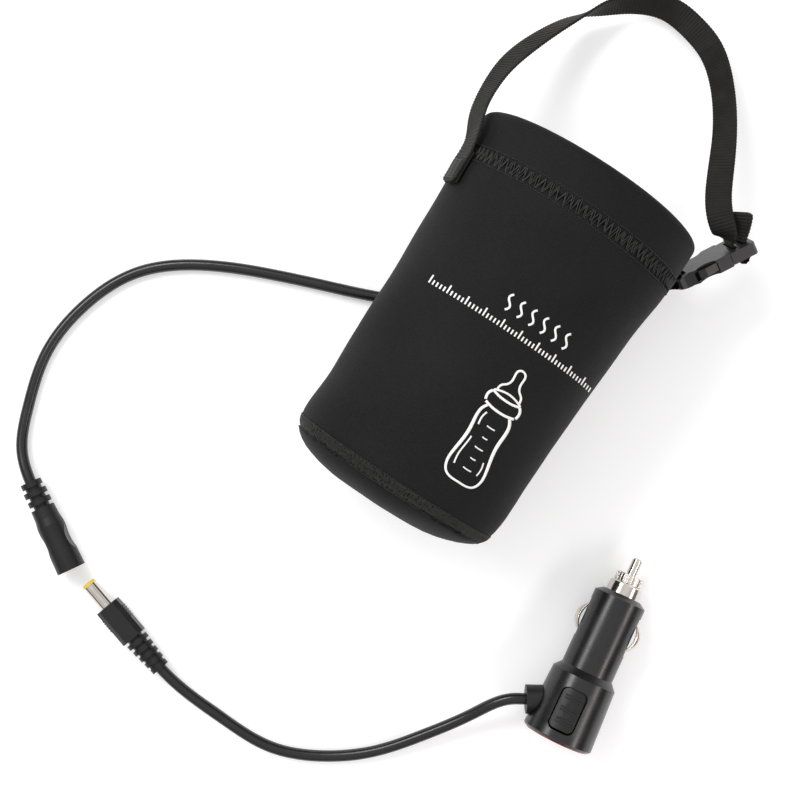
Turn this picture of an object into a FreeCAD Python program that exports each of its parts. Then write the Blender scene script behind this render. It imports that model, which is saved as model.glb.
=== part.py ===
# A car bottle warmer: a soft neoprene sleeve lying on its side, with a heating film inside it, a webbing
# carry handle on a side-release buckle, and a lead that ends in an inline DC jack; and beside it the
# separate power lead, which runs from a DC plug to a car accessory plug with a rocker switch and a fuse.
#
# Frame, in millimetres: the origin is the middle of the flat on the sleeve's base, +Y runs along the
# sleeve from its base to its mouth, +Z is up from the table, and the table is at z = -table_drop.
import FreeCAD, Part
import math
import os

import Sketcher

V = FreeCAD.Vector
SHEET = "Sizes"

SLEEVE_SIZES = {
    # stations along the sleeve: the base seam, where the wall swells out of it, two widths in between,
    # and the rim of the mouth
    "seam_y": 8.0,
    "swell_y": 10.0,
    "shoulder_y": 13.2,
    "waist_y": 60.0,
    "chest_y": 100.0,
    "mouth_y": 140.7,
    "seam_half_width": 38.8,
    "swell_half_width": 40.6,
    "shoulder_half_width": 41.7,
    "waist_half_width": 42.7,
    "chest_half_width": 43.6,
    "mouth_half_width": 45.6,
    "seam_half_height": 38.8,
    "swell_half_height": 40.6,
    "shoulder_half_height": 41.7,
    "waist_half_height": 40.6,
    "seam_rise": 0.0,
    "swell_rise": 0.0,
    "shoulder_rise": 0.0,
    "waist_rise": -1.1,
    "chest_rise": -2.2,
    "mouth_rise": -4.3,
    "chest_half_height": 39.5,
    "mouth_half_height": 37.4,
    "table_drop": 42.15,
    # layers, each given as its depth below the outer face
    "wall": 3.5,
    "wire_depth": 4.0,
    "wire_radius": 0.38,
    "track_top": 4.5,
    "film_top": 4.68,
    "film_bottom": 4.98,
    "lining_top": 5.1,
    "lining_bottom": 6.1,
    "thread_lift": 0.35,
    "thread_gap": 0.06,
    # seams
    "cuff_y": 123.0,
    "cuff_thread_width": 6.5,
    "base_thread_width": 4.2,
    "ink_lift": 0.12,
    "ink_gap": 0.02,
    "side_thread_width": 5.0,
    "side_seam_angle": 224.5,
    # base
    "base_flat_radius": 9.0,
    "base_wall": 3.4,
    "pad_radius": 16.5,
    "pad_gap": 1.1,
    "pad_thickness": 1.8,
    "lining_base_y": 11.4,
    "lining_base_thickness": 1.0,
    # heater
    "film_start": 24.0,
    "film_end": 112.0,
    "film_gap_half_width": 9.0,
    "track_pitch": 10.0,
    "track_width": 1.6,
    "thermostat_length": 18.0,
    "thermostat_width": 7.4,
    "thermostat_height": 3.8,
    # cable exit
    "exit_y": 68.5,
    "grommet_radius": 3.3,
    "grommet_flange_radius": 5.2,
    "grommet_flange": 1.4,
    "cable_radius": 2.2,
}

STRAP_SIZES = {
    "webbing_width": 10.0,
    "webbing_thickness": 1.2,
    "tab_length": 17.0,
    "tab_angle": 157.0,
    "loop_tab_angle": -22.0,
    "bar_thickness": 3.6,
    "bar_run": 4.4,
    "tab_thickness": 1.8,
    "buckle_width": 17.0,
    "buckle_thickness": 5.4,
    "female_length": 21.4,
    "male_start": 21.6,
    "male_end": 31.6,
    "male_thickness": 4.6,
    "slot_half_width": 5.7,
    "loop_bar": 2.0,
    "loop_slot": 2.6,
    "window_start": 6.9,
    "window_end": 16.0,
    "pocket_half_width": 7.35,
    "pocket_height": 3.7,
    "arm_thickness": 3.2,
    "scallop_x": 11.6,
    "scallop_radius": 5.0,
    "scallop_bite": 2.1,
    "guide_start": 9.5,
    "guide_half_width": 1.9,
    "ladder_bar_start": 25.8,
    "ladder_bar_end": 27.8,
    "ladder_slot": 2.1,
}

JACK_SIZES = {
    "jack_length": 37.0,
    "jack_rings_end": 14.2,
    "jack_ring_pitch": 3.6,
    "jack_ring_width": 2.1,
    "jack_ring_radius": 4.5,
    "jack_core_radius": 3.1,
    "jack_neck_radius": 4.6,
    "jack_body_radius": 5.3,
    "jack_mouth_radius": 5.6,
    "jack_shell_radius": 4.15,
    "jack_bore_radius": 2.85,
    "jack_well": 9.6,
    "jack_pin_radius": 1.05,
    "jack_pin_recess": 1.0,
}

PLUG_SIZES = {
    "plug_length": 31.5,
    "plug_rings_end": 15.6,
    "plug_ring_pitch": 3.12,
    "plug_ring_width": 2.0,
    "plug_core_radius": 3.15,
    "plug_ring_rear_radius": 3.6,
    "plug_ring_front_radius": 4.55,
    "plug_half_width": 4.75,
    "plug_flat_half_width": 2.6,
    "plug_barrel_radius": 2.75,
    "plug_barrel_bore": 2.3,
    "plug_barrel_length": 10.4,
    "plug_tip_ring": 1.3,
    "plug_tip_radius": 2.7,
    "plug_seat": 8.0,
    "plug_root_radius": 2.5,
    "plug_contact_radius": 1.45,
    "plug_contact_bore": 1.1,
}

ADAPTER_SIZES = {
    # along the axis, from the tip of the rear lens
    "rim_x": 1.6,
    "cone_start": 26.5,
    "cone_end": 29.3,
    "barrel_end": 59.4,
    "nose_face": 61.2,
    "rim_radius": 13.8,
    "shoulder_radius": 12.7,
    "barrel_radius": 10.25,
    "nose_radius": 7.5,
    "rear_cavity_radius": 11.0,
    "barrel_cavity_radius": 8.2,
    "lens_seat_radius": 11.7,
    "lens_radius": 12.9,
    "nose_bore": 5.45,
    "nose_wall": 3.0,
    "bush_radius": 6.5,
    "bush_end": 65.6,
    "bush_bore": 3.45,
    "nut_start": 65.75,
    "nut_end": 69.4,
    "nut_radius": 5.35,
    "nut_spigot_radius": 3.35,
    "nut_spigot_start": 61.9,
    "nut_bore": 2.05,
    "tip_radius": 1.95,
    "tip_end": 76.2,
    "tip_travel": 3.0,
    "fuse_radius": 3.15,
    "fuse_length": 30.0,
    "fuse_cap": 5.5,
    "fuse_glass_radius": 3.0,
    "flange_start": 60.2,
    "flange_end": 61.7,
    "flange_radius": 2.9,
    "spring_rear": 22.4,
    "spring_radius": 2.3,
    "spring_wire": 0.3,
    "tube_radius": 4.3,
    "tube_bore": 3.4,
    "tube_end": 56.0,
    "switch_x": 13.5,
    "controls_roll": -12.0,
    "recess_length": 16.9,
    "recess_width": 10.3,
    "rocker_gap": 0.5,
    "rocker_pivot_z": 9.3,
    "rocker_depth": 3.4,
    "rocker_rest_tilt": 5.0,
    "slot_start": 40.2,
    "slot_end": 55.4,
    "slot_half_height": 2.7,
    "leaf_half_height": 2.3,
    "leaf_thickness": 0.6,
    "leaf_bulge": 3.2,
    "leaf_foot": 2.4,
    "boss_x": 13.2,
    "boss_radius": 5.5,
    "boss_length": 17.9,
    "boss_neck_radius": 3.9,
}

# Where things lie on the table. Each spot is (x, y) of the part's own origin and its heading in degrees.
JACK_SPOT = (-115.6, -68.6, -31.6)
PLUG_SPOT = (-34.6, -101.1, 163.7)
ADAPTER_SPOT = (105.8, -40.5, 98.1)
ADAPTER_PITCH = 3.5
BOSS_ANGLE = 24.0
BUCKLE_SPOT = (46.5, 128.3, -18.3)
BUCKLE_HEADING = 60.4
BUCKLE_ROLL = -72.0

# The carry strap's middle line from the sewn tab to the buckle, and the lean of its face in degrees.
STRAP_PATH = [
    (-44.0, 127.3, 12.4, 27.0),
    (-47.6, 137.6, 5.0, 30.0),
    (-49.4, 152.6, -4.0, 34.0),
    (-48.2, 166.0, -13.5, 35.0),
    (-42.9, 183.3, -24.0, 24.0),
    (-37.2, 195.0, -29.5, 8.0),
    (-31.5, 202.8, -32.0, -16.0),
    (-22.4, 211.7, -34.0, -38.0),
    (-10.7, 217.1, -34.6, -58.0),
    (0.7, 216.2, -34.0, -74.0),
    (11.0, 212.4, -32.2, -62.0),
    (20.3, 204.5, -29.3, -52.0),
    (28.0, 194.3, -26.0, -52.0),
    (33.8, 183.9, -22.6, -58.0),
    (39.9, 170.1, -18.2, -72.0),
    (44.9, 159.6, -15.4, -66.0),
    (47.4, 156.2, -14.8, -48.0),
    (51.2, 153.8, -15.5, -22.0),
    (54.67, 152.12, -16.79, -4.0),
]

doc = FreeCAD.newDocument("BottleWarmer")
sheet = doc.addObject("Spreadsheet::Sheet", SHEET)


def fill_sheet(*groups):
    """Writes every driving dimension into a row of the sheet and names its cell."""
    row = 1
    for group in groups:
        for alias, value in group.items():
            sheet.set(f"A{row}", alias)
            sheet.set(f"B{row}", str(value))
            sheet.setAlias(f"B{row}", alias)
            row += 1
    doc.recompute()


fill_sheet(SLEEVE_SIZES, STRAP_SIZES, JACK_SIZES, PLUG_SIZES, ADAPTER_SIZES)


def size(alias):
    """A driving dimension, read from the sheet."""
    return float(sheet.get(alias))


def cell(text):
    """Turns words such as 'wall + 2' into an expression on the sheet's cells."""
    parts = str(text).replace("(", " ( ").replace(")", " ) ").split()
    return " ".join(f"{SHEET}.{p}" if p[0].isalpha() else p for p in parts)


def value(text):
    return float(sheet.evalExpression(cell(text)))


def frame(x, y, z, heading=0.0, pitch=0.0, roll=0.0):
    """A placement whose local x axis points along heading, tipped nose-down by pitch and rolled about x."""
    turn = FreeCAD.Rotation(V(0, 0, 1), heading)
    turn = turn.multiply(FreeCAD.Rotation(V(0, 1, 0), pitch))
    turn = turn.multiply(FreeCAD.Rotation(V(1, 0, 0), roll))
    return FreeCAD.Placement(V(x, y, z), turn)


def at(x=0.0, y=0.0, z=0.0, axis=V(0, 0, 1), angle=0.0):
    return FreeCAD.Placement(V(x, y, z), FreeCAD.Rotation(axis, angle))


FLOOR = -size("table_drop")
ALONG_X = FreeCAD.Rotation(V(0, 1, 0), 90)
JACK = frame(*JACK_SPOT[:2], FLOOR + size("jack_mouth_radius"), JACK_SPOT[2])
PLUG = frame(*PLUG_SPOT[:2], FLOOR + size("plug_half_width"), PLUG_SPOT[2])
ADAPTER = frame(*ADAPTER_SPOT[:2], FLOOR + size("rim_radius") + 0.12, ADAPTER_SPOT[2], ADAPTER_PITCH)
BUCKLE = frame(*BUCKLE_SPOT, BUCKLE_HEADING, 0.0, BUCKLE_ROLL)

nodes = []


def node(obj, label, placement=None):
    """Marks an object as a finished sub-part, places it and names its file."""
    if placement is not None:
        obj.Placement = placement
    obj.Label = label
    nodes.append(obj)
    return obj


# ---------------------------------------------------------------- building blocks


def box(length, width, height, placement):
    obj = doc.addObject("Part::Box", "Block")
    for prop, text in (("Length", length), ("Width", width), ("Height", height)):
        obj.setExpression(prop, cell(text))
    obj.Placement = placement
    return obj


def cylinder(radius, height, placement):
    obj = doc.addObject("Part::Cylinder", "Rod")
    obj.setExpression("Radius", cell(radius))
    obj.setExpression("Height", cell(height))
    obj.Placement = placement
    return obj


def rod_x(radius, start, end, y=0.0, z=0.0):
    """A cylinder along the local x axis, from start to end."""
    obj = cylinder(radius, f"( {end} ) - ( {start} )", FreeCAD.Placement(V(0, y, z), ALONG_X))
    obj.setExpression(".Placement.Base.x", cell(start))
    return obj


def cut(base, *tools):
    for tool in tools:
        made = doc.addObject("Part::Cut", "Cut")
        made.Base = base
        made.Tool = tool
        base = made
    return base


def fuse(*shapes):
    made = doc.addObject("Part::MultiFuse", "Joined")
    made.Shapes = list(shapes)
    return made


def common(first, second):
    made = doc.addObject("Part::MultiCommon", "Shared")
    made.Shapes = [first, second]
    return made


def origin_plane(body, role):
    return next(f for f in body.Origin.OriginFeatures if f.Role == role)


def outline_sketch(body, role, outline):
    """A closed polygon sketch whose every corner is dimensioned from the sheet, by x and y from the origin."""
    sketch = body.newObject("Sketcher::SketchObject", "Outline")
    sketch.AttachmentSupport = [(origin_plane(body, role), "")]
    sketch.MapMode = "FlatFace"
    corners = [V(value(x), value(y), 0) for x, y in outline]
    count = len(corners)
    for i in range(count):
        sketch.addGeometry(Part.LineSegment(corners[i], corners[(i + 1) % count]), False)
    for i in range(count):
        sketch.addConstraint(Sketcher.Constraint("Coincident", i, 2, (i + 1) % count, 1))
    for i, (x, y) in enumerate(outline):
        for kind, text, number, axis in (("DistanceX", x, corners[i].x, -2), ("DistanceY", y, corners[i].y, -1)):
            if abs(number) < 1e-9:
                sketch.addConstraint(Sketcher.Constraint("PointOnObject", i, 1, axis))
                continue
            forward = number > 0
            ends = (-1, 1, i, 1) if forward else (i, 1, -1, 1)
            index = sketch.addConstraint(Sketcher.Constraint(kind, *ends, abs(number)))
            expression = cell(text) if forward else f"-( {cell(text)} )"
            sketch.setExpression(f"Constraints[{index}]", expression)
    return sketch


def turned(outline):
    """A body of revolution about x. The outline's corners are (distance along x, radius)."""
    body = doc.addObject("PartDesign::Body", "Turned")
    sketch = outline_sketch(body, "XY_Plane", outline)
    feature = body.newObject("PartDesign::Revolution", "Revolution")
    feature.Profile = sketch
    feature.ReferenceAxis = (sketch, ["H_Axis"])
    feature.Angle = 360.0
    doc.recompute()
    return body


def plate(outline, thickness, role="XY_Plane", round_edges=0.0):
    """A flat body cut to an outline, as thick either side of its plane, with its corners rounded if asked."""
    body = doc.addObject("PartDesign::Body", "Plate")
    sketch = outline_sketch(body, role, outline)
    feature = body.newObject("PartDesign::Pad", "Pad")
    feature.Profile = sketch
    feature.setExpression("Length", cell(thickness))
    feature.Midplane = True
    doc.recompute()
    if round_edges:
        upright = [
            f"Edge{i + 1}"
            for i, e in enumerate(feature.Shape.Edges)
            if abs(e.tangentAt(e.FirstParameter).dot(feature.Shape.Faces[0].normalAt(0, 0))) < 2
            and abs(e.Length - value(thickness)) < 1e-6
        ]
        fillet = body.newObject("PartDesign::Fillet", "Rounded")
        fillet.Base = (feature, upright)
        fillet.Radius = round_edges
        doc.recompute()
    return body


def swept(path, radius):
    """A round wire or cable along a smooth curve through the path's points."""
    curve = Part.BSplineCurve()
    curve.interpolate(path)
    spine = doc.addObject("Part::Feature", "Spine")
    spine.Shape = curve.toShape()
    start = curve.tangent(curve.FirstParameter)[0]
    ring = doc.addObject("Part::Circle", "Section")
    ring.setExpression("Radius", cell(radius))
    ring.Placement = FreeCAD.Placement(path[0], FreeCAD.Rotation(V(0, 0, 1), start))
    made = doc.addObject("Part::Sweep", "Run")
    made.Sections = [ring]
    made.Spine = (spine, ["Edge1"])
    made.Solid = True
    return made


def ribbon(path, width, thickness):
    """A strap of webbing. Each point of the path is (x, y, z, lean), lean being how far its outer face looks up."""
    curve = Part.BSplineCurve()
    curve.interpolate([V(*p[:3]) for p in path])
    sections = []
    for x, y, z, lean in path:
        here = V(x, y, z)
        along = curve.tangent(curve.parameter(here))[0]
        outward = V(0, 0, 1).cross(along).normalize()
        upward = along.cross(outward).normalize()
        tip = math.radians(lean)
        face = outward * math.cos(tip) + upward * math.sin(tip)
        side = along.cross(face).normalize()
        reach, depth = side * (width / 2), face * (thickness / 2)
        ring = [here + reach + depth, here - reach + depth, here - reach - depth, here + reach - depth]
        sections.append(Part.makePolygon(ring + ring[:1]))
    return Part.makeLoft(sections, True, False)


def plain(shape, label, placement=None):
    """A sub-part whose shape is made directly."""
    obj = doc.addObject("Part::Feature", "Made")
    obj.Shape = shape
    return node(obj, label, placement)


# ---------------------------------------------------------------- the sleeve's layers

STATIONS = ("seam", "swell", "shoulder", "waist", "chest", "mouth")
lofts = {}


def sleeve_skin(depth):
    """The closed form of the sleeve at a depth below its outer face: round at the base, flattened at the mouth."""
    if depth in lofts:
        return lofts[depth]
    rings = []
    for station in STATIONS:
        ring = doc.addObject("Part::Ellipse", "Ring")
        ring.setExpression("MajorRadius", cell(f"{station}_half_width - ( {depth} )"))
        ring.setExpression("MinorRadius", cell(f"{station}_half_height - ( {depth} )"))
        ring.Placement = at(axis=V(1, 0, 0), angle=90)
        ring.setExpression(".Placement.Base.y", cell(f"{station}_y"))
        ring.setExpression(".Placement.Base.z", cell(f"{station}_rise"))
        rings.append(ring)
    made = doc.addObject("Part::Loft", "Skin")
    made.Sections = rings
    made.Solid = True
    made.Ruled = True
    lofts[depth] = made
    return made


def slab(start, end):
    """Everything between two distances along the sleeve."""
    made = box("300", f"( {end} ) - ( {start} )", "300", at(-150, 0, -150))
    made.setExpression(".Placement.Base.y", cell(start))
    return made


def layer(top, bottom, start, end):
    """A tube of the sleeve between two depths and two distances along it."""
    return common(cut(sleeve_skin(top), sleeve_skin(bottom)), slab(start, end))


def on_sleeve(y, angle, depth):
    """The point on the sleeve at an angle round it (0 is +X, 90 is up) and a depth below its outer face."""
    stations = [size(f"{s}_y") for s in STATIONS]
    i = max(k for k in range(len(stations) - 1) if y >= stations[k] or k == 0)
    share = (y - stations[i]) / (stations[i + 1] - stations[i])

    def mix(name):
        low, high = (size(f"{s}_{name}") for s in STATIONS[i : i + 2])
        return low + share * (high - low)

    turn = math.radians(angle)
    half_width, half_height = mix("half_width") - depth, mix("half_height") - depth
    centre = mix("rise")
    return V(half_width * math.cos(turn), y, centre + half_height * math.sin(turn))


def outward_at(y, angle):
    """The sleeve's outward direction at an angle round it."""
    ahead, behind = on_sleeve(y, angle + 0.5, 0), on_sleeve(y, angle - 0.5, 0)
    return V(0, 1, 0).cross(ahead - behind).normalize()


seam_angle = size("side_seam_angle")
exit_y = size("exit_y")
exit_point = on_sleeve(exit_y, seam_angle, 0)
exit_way = outward_at(exit_y, seam_angle)
exit_hole = cylinder("grommet_radius + 0.05", "14", FreeCAD.Placement(
    exit_point - exit_way * 7, FreeCAD.Rotation(V(0, 0, 1), exit_way)))

cable_path = [
    exit_point - exit_way * 3.3,
    exit_point + exit_way * 2.2,
    V(-38.6, 66.2, FLOOR + 3.6),
    V(-47.0, 62.6, FLOOR + 2.2),
    V(-61.2, 57.9, FLOOR + 2.2),
    V(-83.5, 49.7, FLOOR + 2.2),
    V(-107.4, 36.8, FLOOR + 2.2),
    V(-125.7, 20.5, FLOOR + 2.2),
    V(-136.9, -1.2, FLOOR + 2.2),
    V(-139.0, -24.2, FLOOR + 2.2),
    V(-133.6, -46.0, FLOOR + 2.4),
    V(-124.6, -60.4, FLOOR + 3.6),
    JACK.multVec(V(1.0, 0, 0)),
    JACK.multVec(V(9.0, 0, 0)),
    JACK.multVec(V(size("jack_rings_end") + 2.0, 0, 0)),
]
sleeve_cable = swept(cable_path, "cable_radius")
node(sleeve_cable, "sleeve_cable")

grommet = fuse(
    cylinder("grommet_radius", "3.4", FreeCAD.Placement(exit_point - exit_way * 3.35,
                                                        FreeCAD.Rotation(V(0, 0, 1), exit_way))),
    cylinder("grommet_flange_radius", "grommet_flange", FreeCAD.Placement(exit_point + exit_way * 0.18,
                                                                          FreeCAD.Rotation(V(0, 0, 1), exit_way))),
)
node(cut(grommet, sleeve_cable), "cable_grommet")

node(cut(layer("0", "wall", "seam_y", "cuff_y - 0.05"), exit_hole), "outer_sleeve")
node(layer("0", "lining_bottom", "cuff_y", "mouth_y"), "mouth_cuff")
node(layer("lining_top", "lining_bottom", "lining_base_y", "cuff_y - 0.1"), "inner_lining")

film_notch = box("2 * film_gap_half_width", "200", "100", at())
film_notch.setExpression(".Placement.Base.x", cell("0 - film_gap_half_width"))
node(cut(layer("film_top", "film_bottom", "film_start", "film_end"), film_notch), "heating_film")


def heater_track():
    """One strip that runs round the film and back, stepping along the sleeve at alternate ends."""
    strips = []
    pitch, width = size("track_pitch"), size("track_width")
    start, end = size("film_start") + 4, size("film_end") - 6
    count = int((end - start) / pitch) + 1
    gap = size("film_gap_half_width") + 3
    for i in range(count):
        y = start + i * pitch
        strips.append(box("300", "track_width", "300", at(-150, y, -150)))
        if i < count - 1:
            side = 1 if i % 2 else -1
            left = gap if side > 0 else -gap - width
            strips.append(box("track_width", "track_pitch + track_width", "100", at(left, y, 0)))
    notch = box(str(2 * gap), "200", "100", at(-gap, 0, 0))
    return cut(common(cut(sleeve_skin("track_top"), sleeve_skin("film_top - 0.02")), fuse(*strips)), notch)


node(heater_track(), "heater_track")

# The base: a domed disc with a flat to stand on, a foam pad, and the lining's own base above the pocket.
base_profile = [
    ("0", "0"),
    ("0", "base_flat_radius"),
    ("0.9", "base_flat_radius * 2"),
    ("2.6", "base_flat_radius * 2.83"),
    ("5.0", "seam_half_width - 6.2"),
    ("seam_y - 0.05", "seam_half_width"),
    ("seam_y - 0.05", "seam_half_width - 7.8"),
    ("base_wall + 2.8", "base_flat_radius * 2.83"),
    ("base_wall + 1.0", "base_flat_radius * 2"),
    ("base_wall", "base_flat_radius"),
    ("base_wall", "0"),
]
ALONG_Y = FreeCAD.Placement(V(0, 0, 0), FreeCAD.Rotation(V(0, 0, 1), 90))
node(turned(base_profile), "base_disc", ALONG_Y)
pad_spot = ALONG_Y.multiply(FreeCAD.Placement(V(value("base_wall + pad_gap"), 0, 0), ALONG_X))
node(cylinder("pad_radius", "pad_thickness", pad_spot), "base_pad")
lining_base = common(sleeve_skin("lining_bottom + 0.1"), slab("lining_base_y", "lining_base_y + lining_base_thickness"))
node(lining_base, "lining_base")

thermostat_y = value("base_wall + pad_gap + pad_thickness + 0.2")
node(box("thermostat_length", "thermostat_height", "thermostat_width",
         at(-value("thermostat_length / 2"), thermostat_y, -value("thermostat_width / 2"))), "thermostat")

# Thread: raised bands over the seams.
thread_shell = cut(sleeve_skin("0 - thread_lift"), sleeve_skin("0 - thread_gap"))
node(common(thread_shell, slab("cuff_y - cuff_thread_width / 2", "cuff_y + cuff_thread_width / 2")), "cuff_stitching")
node(common(thread_shell, slab("seam_y", "seam_y + base_thread_width")), "base_stitching")


def side_seam(start, end):
    """A block over the side seam, which keeps the thread between two distances along the sleeve."""
    middle = on_sleeve((start + end) / 2, seam_angle, 0)
    out = outward_at(middle.y, seam_angle)
    block = Part.makeBox(size("side_thread_width"), 8, end - start, V(-size("side_thread_width") / 2, -4, 0))
    turn = FreeCAD.Rotation(out.cross(V(0, 1, 0)), out, V(0, 1, 0), "XYZ")
    block.Placement = FreeCAD.Placement(V(middle.x, start, middle.z), turn)
    piece = doc.addObject("Part::Feature", "SeamBlock")
    piece.Shape = block
    return piece


seam_blocks = fuse(side_seam(12.6, exit_y - 8), side_seam(exit_y + 8, 118.0))
node(common(thread_shell, seam_blocks), "seam_stitching")


# The print: a plain bottle drawn in outline, a row of scale marks, and three heat waves, in white ink.
BOTTLE_AT = (15.4, 23.3)
BODY = [(0, 4.2), (0.7, 5.7), (2.4, 6.8), (7, 6.9), (12, 6.2), (17, 6.0), (22, 6.4), (25, 6.0), (27, 4.8)]
COLLAR = [(27.7, 5.6), (28.4, 6.3), (31.8, 6.3), (32.5, 5.6)]
TEAT = [(33.2, 4.9), (35.0, 4.2), (37.4, 1.9), (40.4, 1.6), (42.2, 2.1), (43.6, 1.1)]


def both_sides(profile, inset):
    """A closed outline from heights and half widths, drawn in by inset all round."""
    low, high = profile[0][0] + inset, profile[-1][0] - inset
    right = [(half - inset, min(max(y, low), high)) for y, half in profile]
    left = [(-x, y) for x, y in reversed(right)]
    corners = [V(BOTTLE_AT[0] + x, BOTTLE_AT[1] + y, 0) for x, y in right + left + right[:1]]
    return Part.Face(Part.makePolygon(corners))


def inked(flat_faces):
    """Flat drawings laid down on the top of the sleeve as a thin film."""
    stamp = doc.addObject("Part::Feature", "Stamp")
    stamp.Shape = Part.makeCompound([face.extrude(V(0, 0, 100)) for face in flat_faces])
    return common(cut(sleeve_skin("0 - ink_lift"), sleeve_skin("0 - ink_gap")), stamp)


drawing = [both_sides(p, 0).cut(both_sides(p, 0.9)).Faces[0] for p in (BODY, COLLAR, TEAT)]
for i in range(24):
    tall = 3.2 if i % 4 == 0 else 2.0
    drawing.append(Part.makePlane(0.8, tall, V(-28.0 + 2.8 * i, 74.6, 0)))
for i in range(3):
    swing = [(0.9 * math.sin(k * math.pi / 4), 80.4 + 0.8 * k) for k in range(9)]
    edge = [(6.4 + 6.2 * i + side * 0.45 + x, y) for side, run in ((1, swing), (-1, swing[::-1])) for x, y in run]
    drawing.append(Part.Face(Part.makePolygon([V(x, y, 0) for x, y in edge + edge[:1]])))
node(inked(drawing), "printed_mark")


# Lead wires: from the cable's end, along the gap under the wall, to the thermostat and to the track.
def wire_run(angle, stops, ends):
    along = [on_sleeve(y, angle, size("wire_depth")) for y in stops]
    return swept(along + ends, "wire_radius")


pocket_y = thermostat_y + size("thermostat_height") / 2
thermostat_end = -value("thermostat_length / 2") - 0.4
wire_turn = math.radians(220.0)


def turn_in(y, radius):
    """A point on the way in from the wall to the thermostat."""
    return V(radius * math.cos(wire_turn), y, radius * math.sin(wire_turn))


node(wire_run(220.0, (66.0, 55.0, 44.0, 33.0, 23.0, 16.0), [
    turn_in(12.6, 37.3),
    turn_in(10.9, 36.2),
    turn_in(9.75, 34.0),
    turn_in(9.15, 30.8),
    turn_in(8.95, 26.5),
    V(-15.2, 8.8, -12.0),
    V(-11.8, pocket_y, -6.5),
    V(thermostat_end, pocket_y, -1.5),
]), "lead_wire_red")
node(wire_run(229.0, (66.0, 54.0, 42.0, 31.0), []), "lead_wire_black")

# ---------------------------------------------------------------- the inline jack


def ring_corners(start, pitch, ring_width, count, core, radii):
    """The outline of a ribbed strain relief: rings on a core, from start, each (from, to) in radius."""
    corners = []
    for i in range(count):
        low = f"{start} + {i} * {pitch}"
        corners += [
            (low, core),
            (low, radii[i]),
            (f"{low} + {ring_width}", radii[i]),
            (f"{low} + {ring_width}", core),
        ]
    return corners


jack_outline = (
    [("0", "0")]
    + ring_corners("0", "jack_ring_pitch", "jack_ring_width", 3, "jack_core_radius",
                   ["jack_ring_radius - 0.4", "jack_ring_radius", "jack_ring_radius"])
    + [
        ("jack_rings_end - 3.4", "jack_core_radius"),
        ("jack_rings_end - 3.4", "jack_neck_radius"),
        ("jack_rings_end + 1.0", "jack_neck_radius + 0.2"),
        ("jack_rings_end + 4.0", "jack_body_radius"),
        ("jack_length - 5", "jack_mouth_radius - 0.1"),
        ("jack_length", "jack_mouth_radius"),
        ("jack_length", "0"),
    ]
)


def scallop(side):
    """The tool for a finger hollow on one side of the jack."""
    reach = size("jack_mouth_radius") + 10.6
    return cylinder("12", "20", at(value("jack_length - 12"), side * reach, -10))


jack_chamber = rod_x("jack_shell_radius + 0.03", "jack_length - jack_well - 3", "jack_length + 1")
jack_body = cut(turned(jack_outline), scallop(1), scallop(-1), jack_chamber)
jack_body.Placement = JACK
node(cut(jack_body, sleeve_cable), "jack_overmould")

jack_shell_outline = [
    ("jack_length - jack_well - 2.8", "0.6"),
    ("jack_length - jack_well - 2.8", "jack_shell_radius"),
    ("jack_length - 0.3", "jack_shell_radius"),
    ("jack_length - 0.3", "jack_bore_radius"),
    ("jack_length - jack_well", "jack_bore_radius"),
    ("jack_length - jack_well", "0.6"),
]
spring_slot = box("jack_well - 1.5", "1.8", "0.9", at(value("jack_length - jack_well + 0.6"), -0.9,
                                                      value("jack_bore_radius - 0.2")))
node(cut(turned(jack_shell_outline), spring_slot), "jack_shell", JACK)
jack_pin_outline = [
    ("jack_length - jack_well - 2.8", "0"),
    ("jack_length - jack_well - 2.8", "0.55"),
    ("jack_length - jack_well + 0.02", "0.55"),
    ("jack_length - jack_well + 0.02", "jack_pin_radius"),
    ("jack_length - jack_pin_recess - 0.4", "jack_pin_radius"),
    ("jack_length - jack_pin_recess", "jack_pin_radius - 0.4"),
    ("jack_length - jack_pin_recess", "0"),
]
node(turned(jack_pin_outline), "jack_centre_pin", JACK)
node(box("jack_well - 1.9", "1.5", "0.3", at(0, 0, 0)), "jack_spring_contact",
     JACK.multiply(at(value("jack_length - jack_well + 0.8"), -0.75, value("jack_bore_radius + 0.15"))))

# ---------------------------------------------------------------- the power lead's plug and cable

boss_mouth_angle = math.radians(BOSS_ANGLE)
boss_way = V(-math.sin(boss_mouth_angle), math.cos(boss_mouth_angle), 0)
boss_root = V(size("boss_x"), 9.6, 0)
plug_cable_path = [
    PLUG.multVec(V(size("plug_rings_end") + 1.0, 0, 0)),
    PLUG.multVec(V(8.0, 0, 0)),
    PLUG.multVec(V(0.0, 0, 0)),
    V(-22.0, -104.9, FLOOR + 3.0),
    V(-4.0, -106.8, FLOOR + 2.2),
    V(17.3, -103.8, FLOOR + 2.2),
    V(36.0, -95.8, FLOOR + 2.3),
    V(51.4, -83.4, FLOOR + 3.0),
    V(63.6, -67.4, FLOOR + 5.2),
    V(74.8, -49.0, FLOOR + 9.2),
    ADAPTER.multVec(boss_root + boss_way * 13.0),
    ADAPTER.multVec(boss_root + boss_way * 7.0),
    ADAPTER.multVec(boss_root + boss_way * 1.2),
]
plug_cable = swept(plug_cable_path, "cable_radius")
node(plug_cable, "plug_cable")

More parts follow.
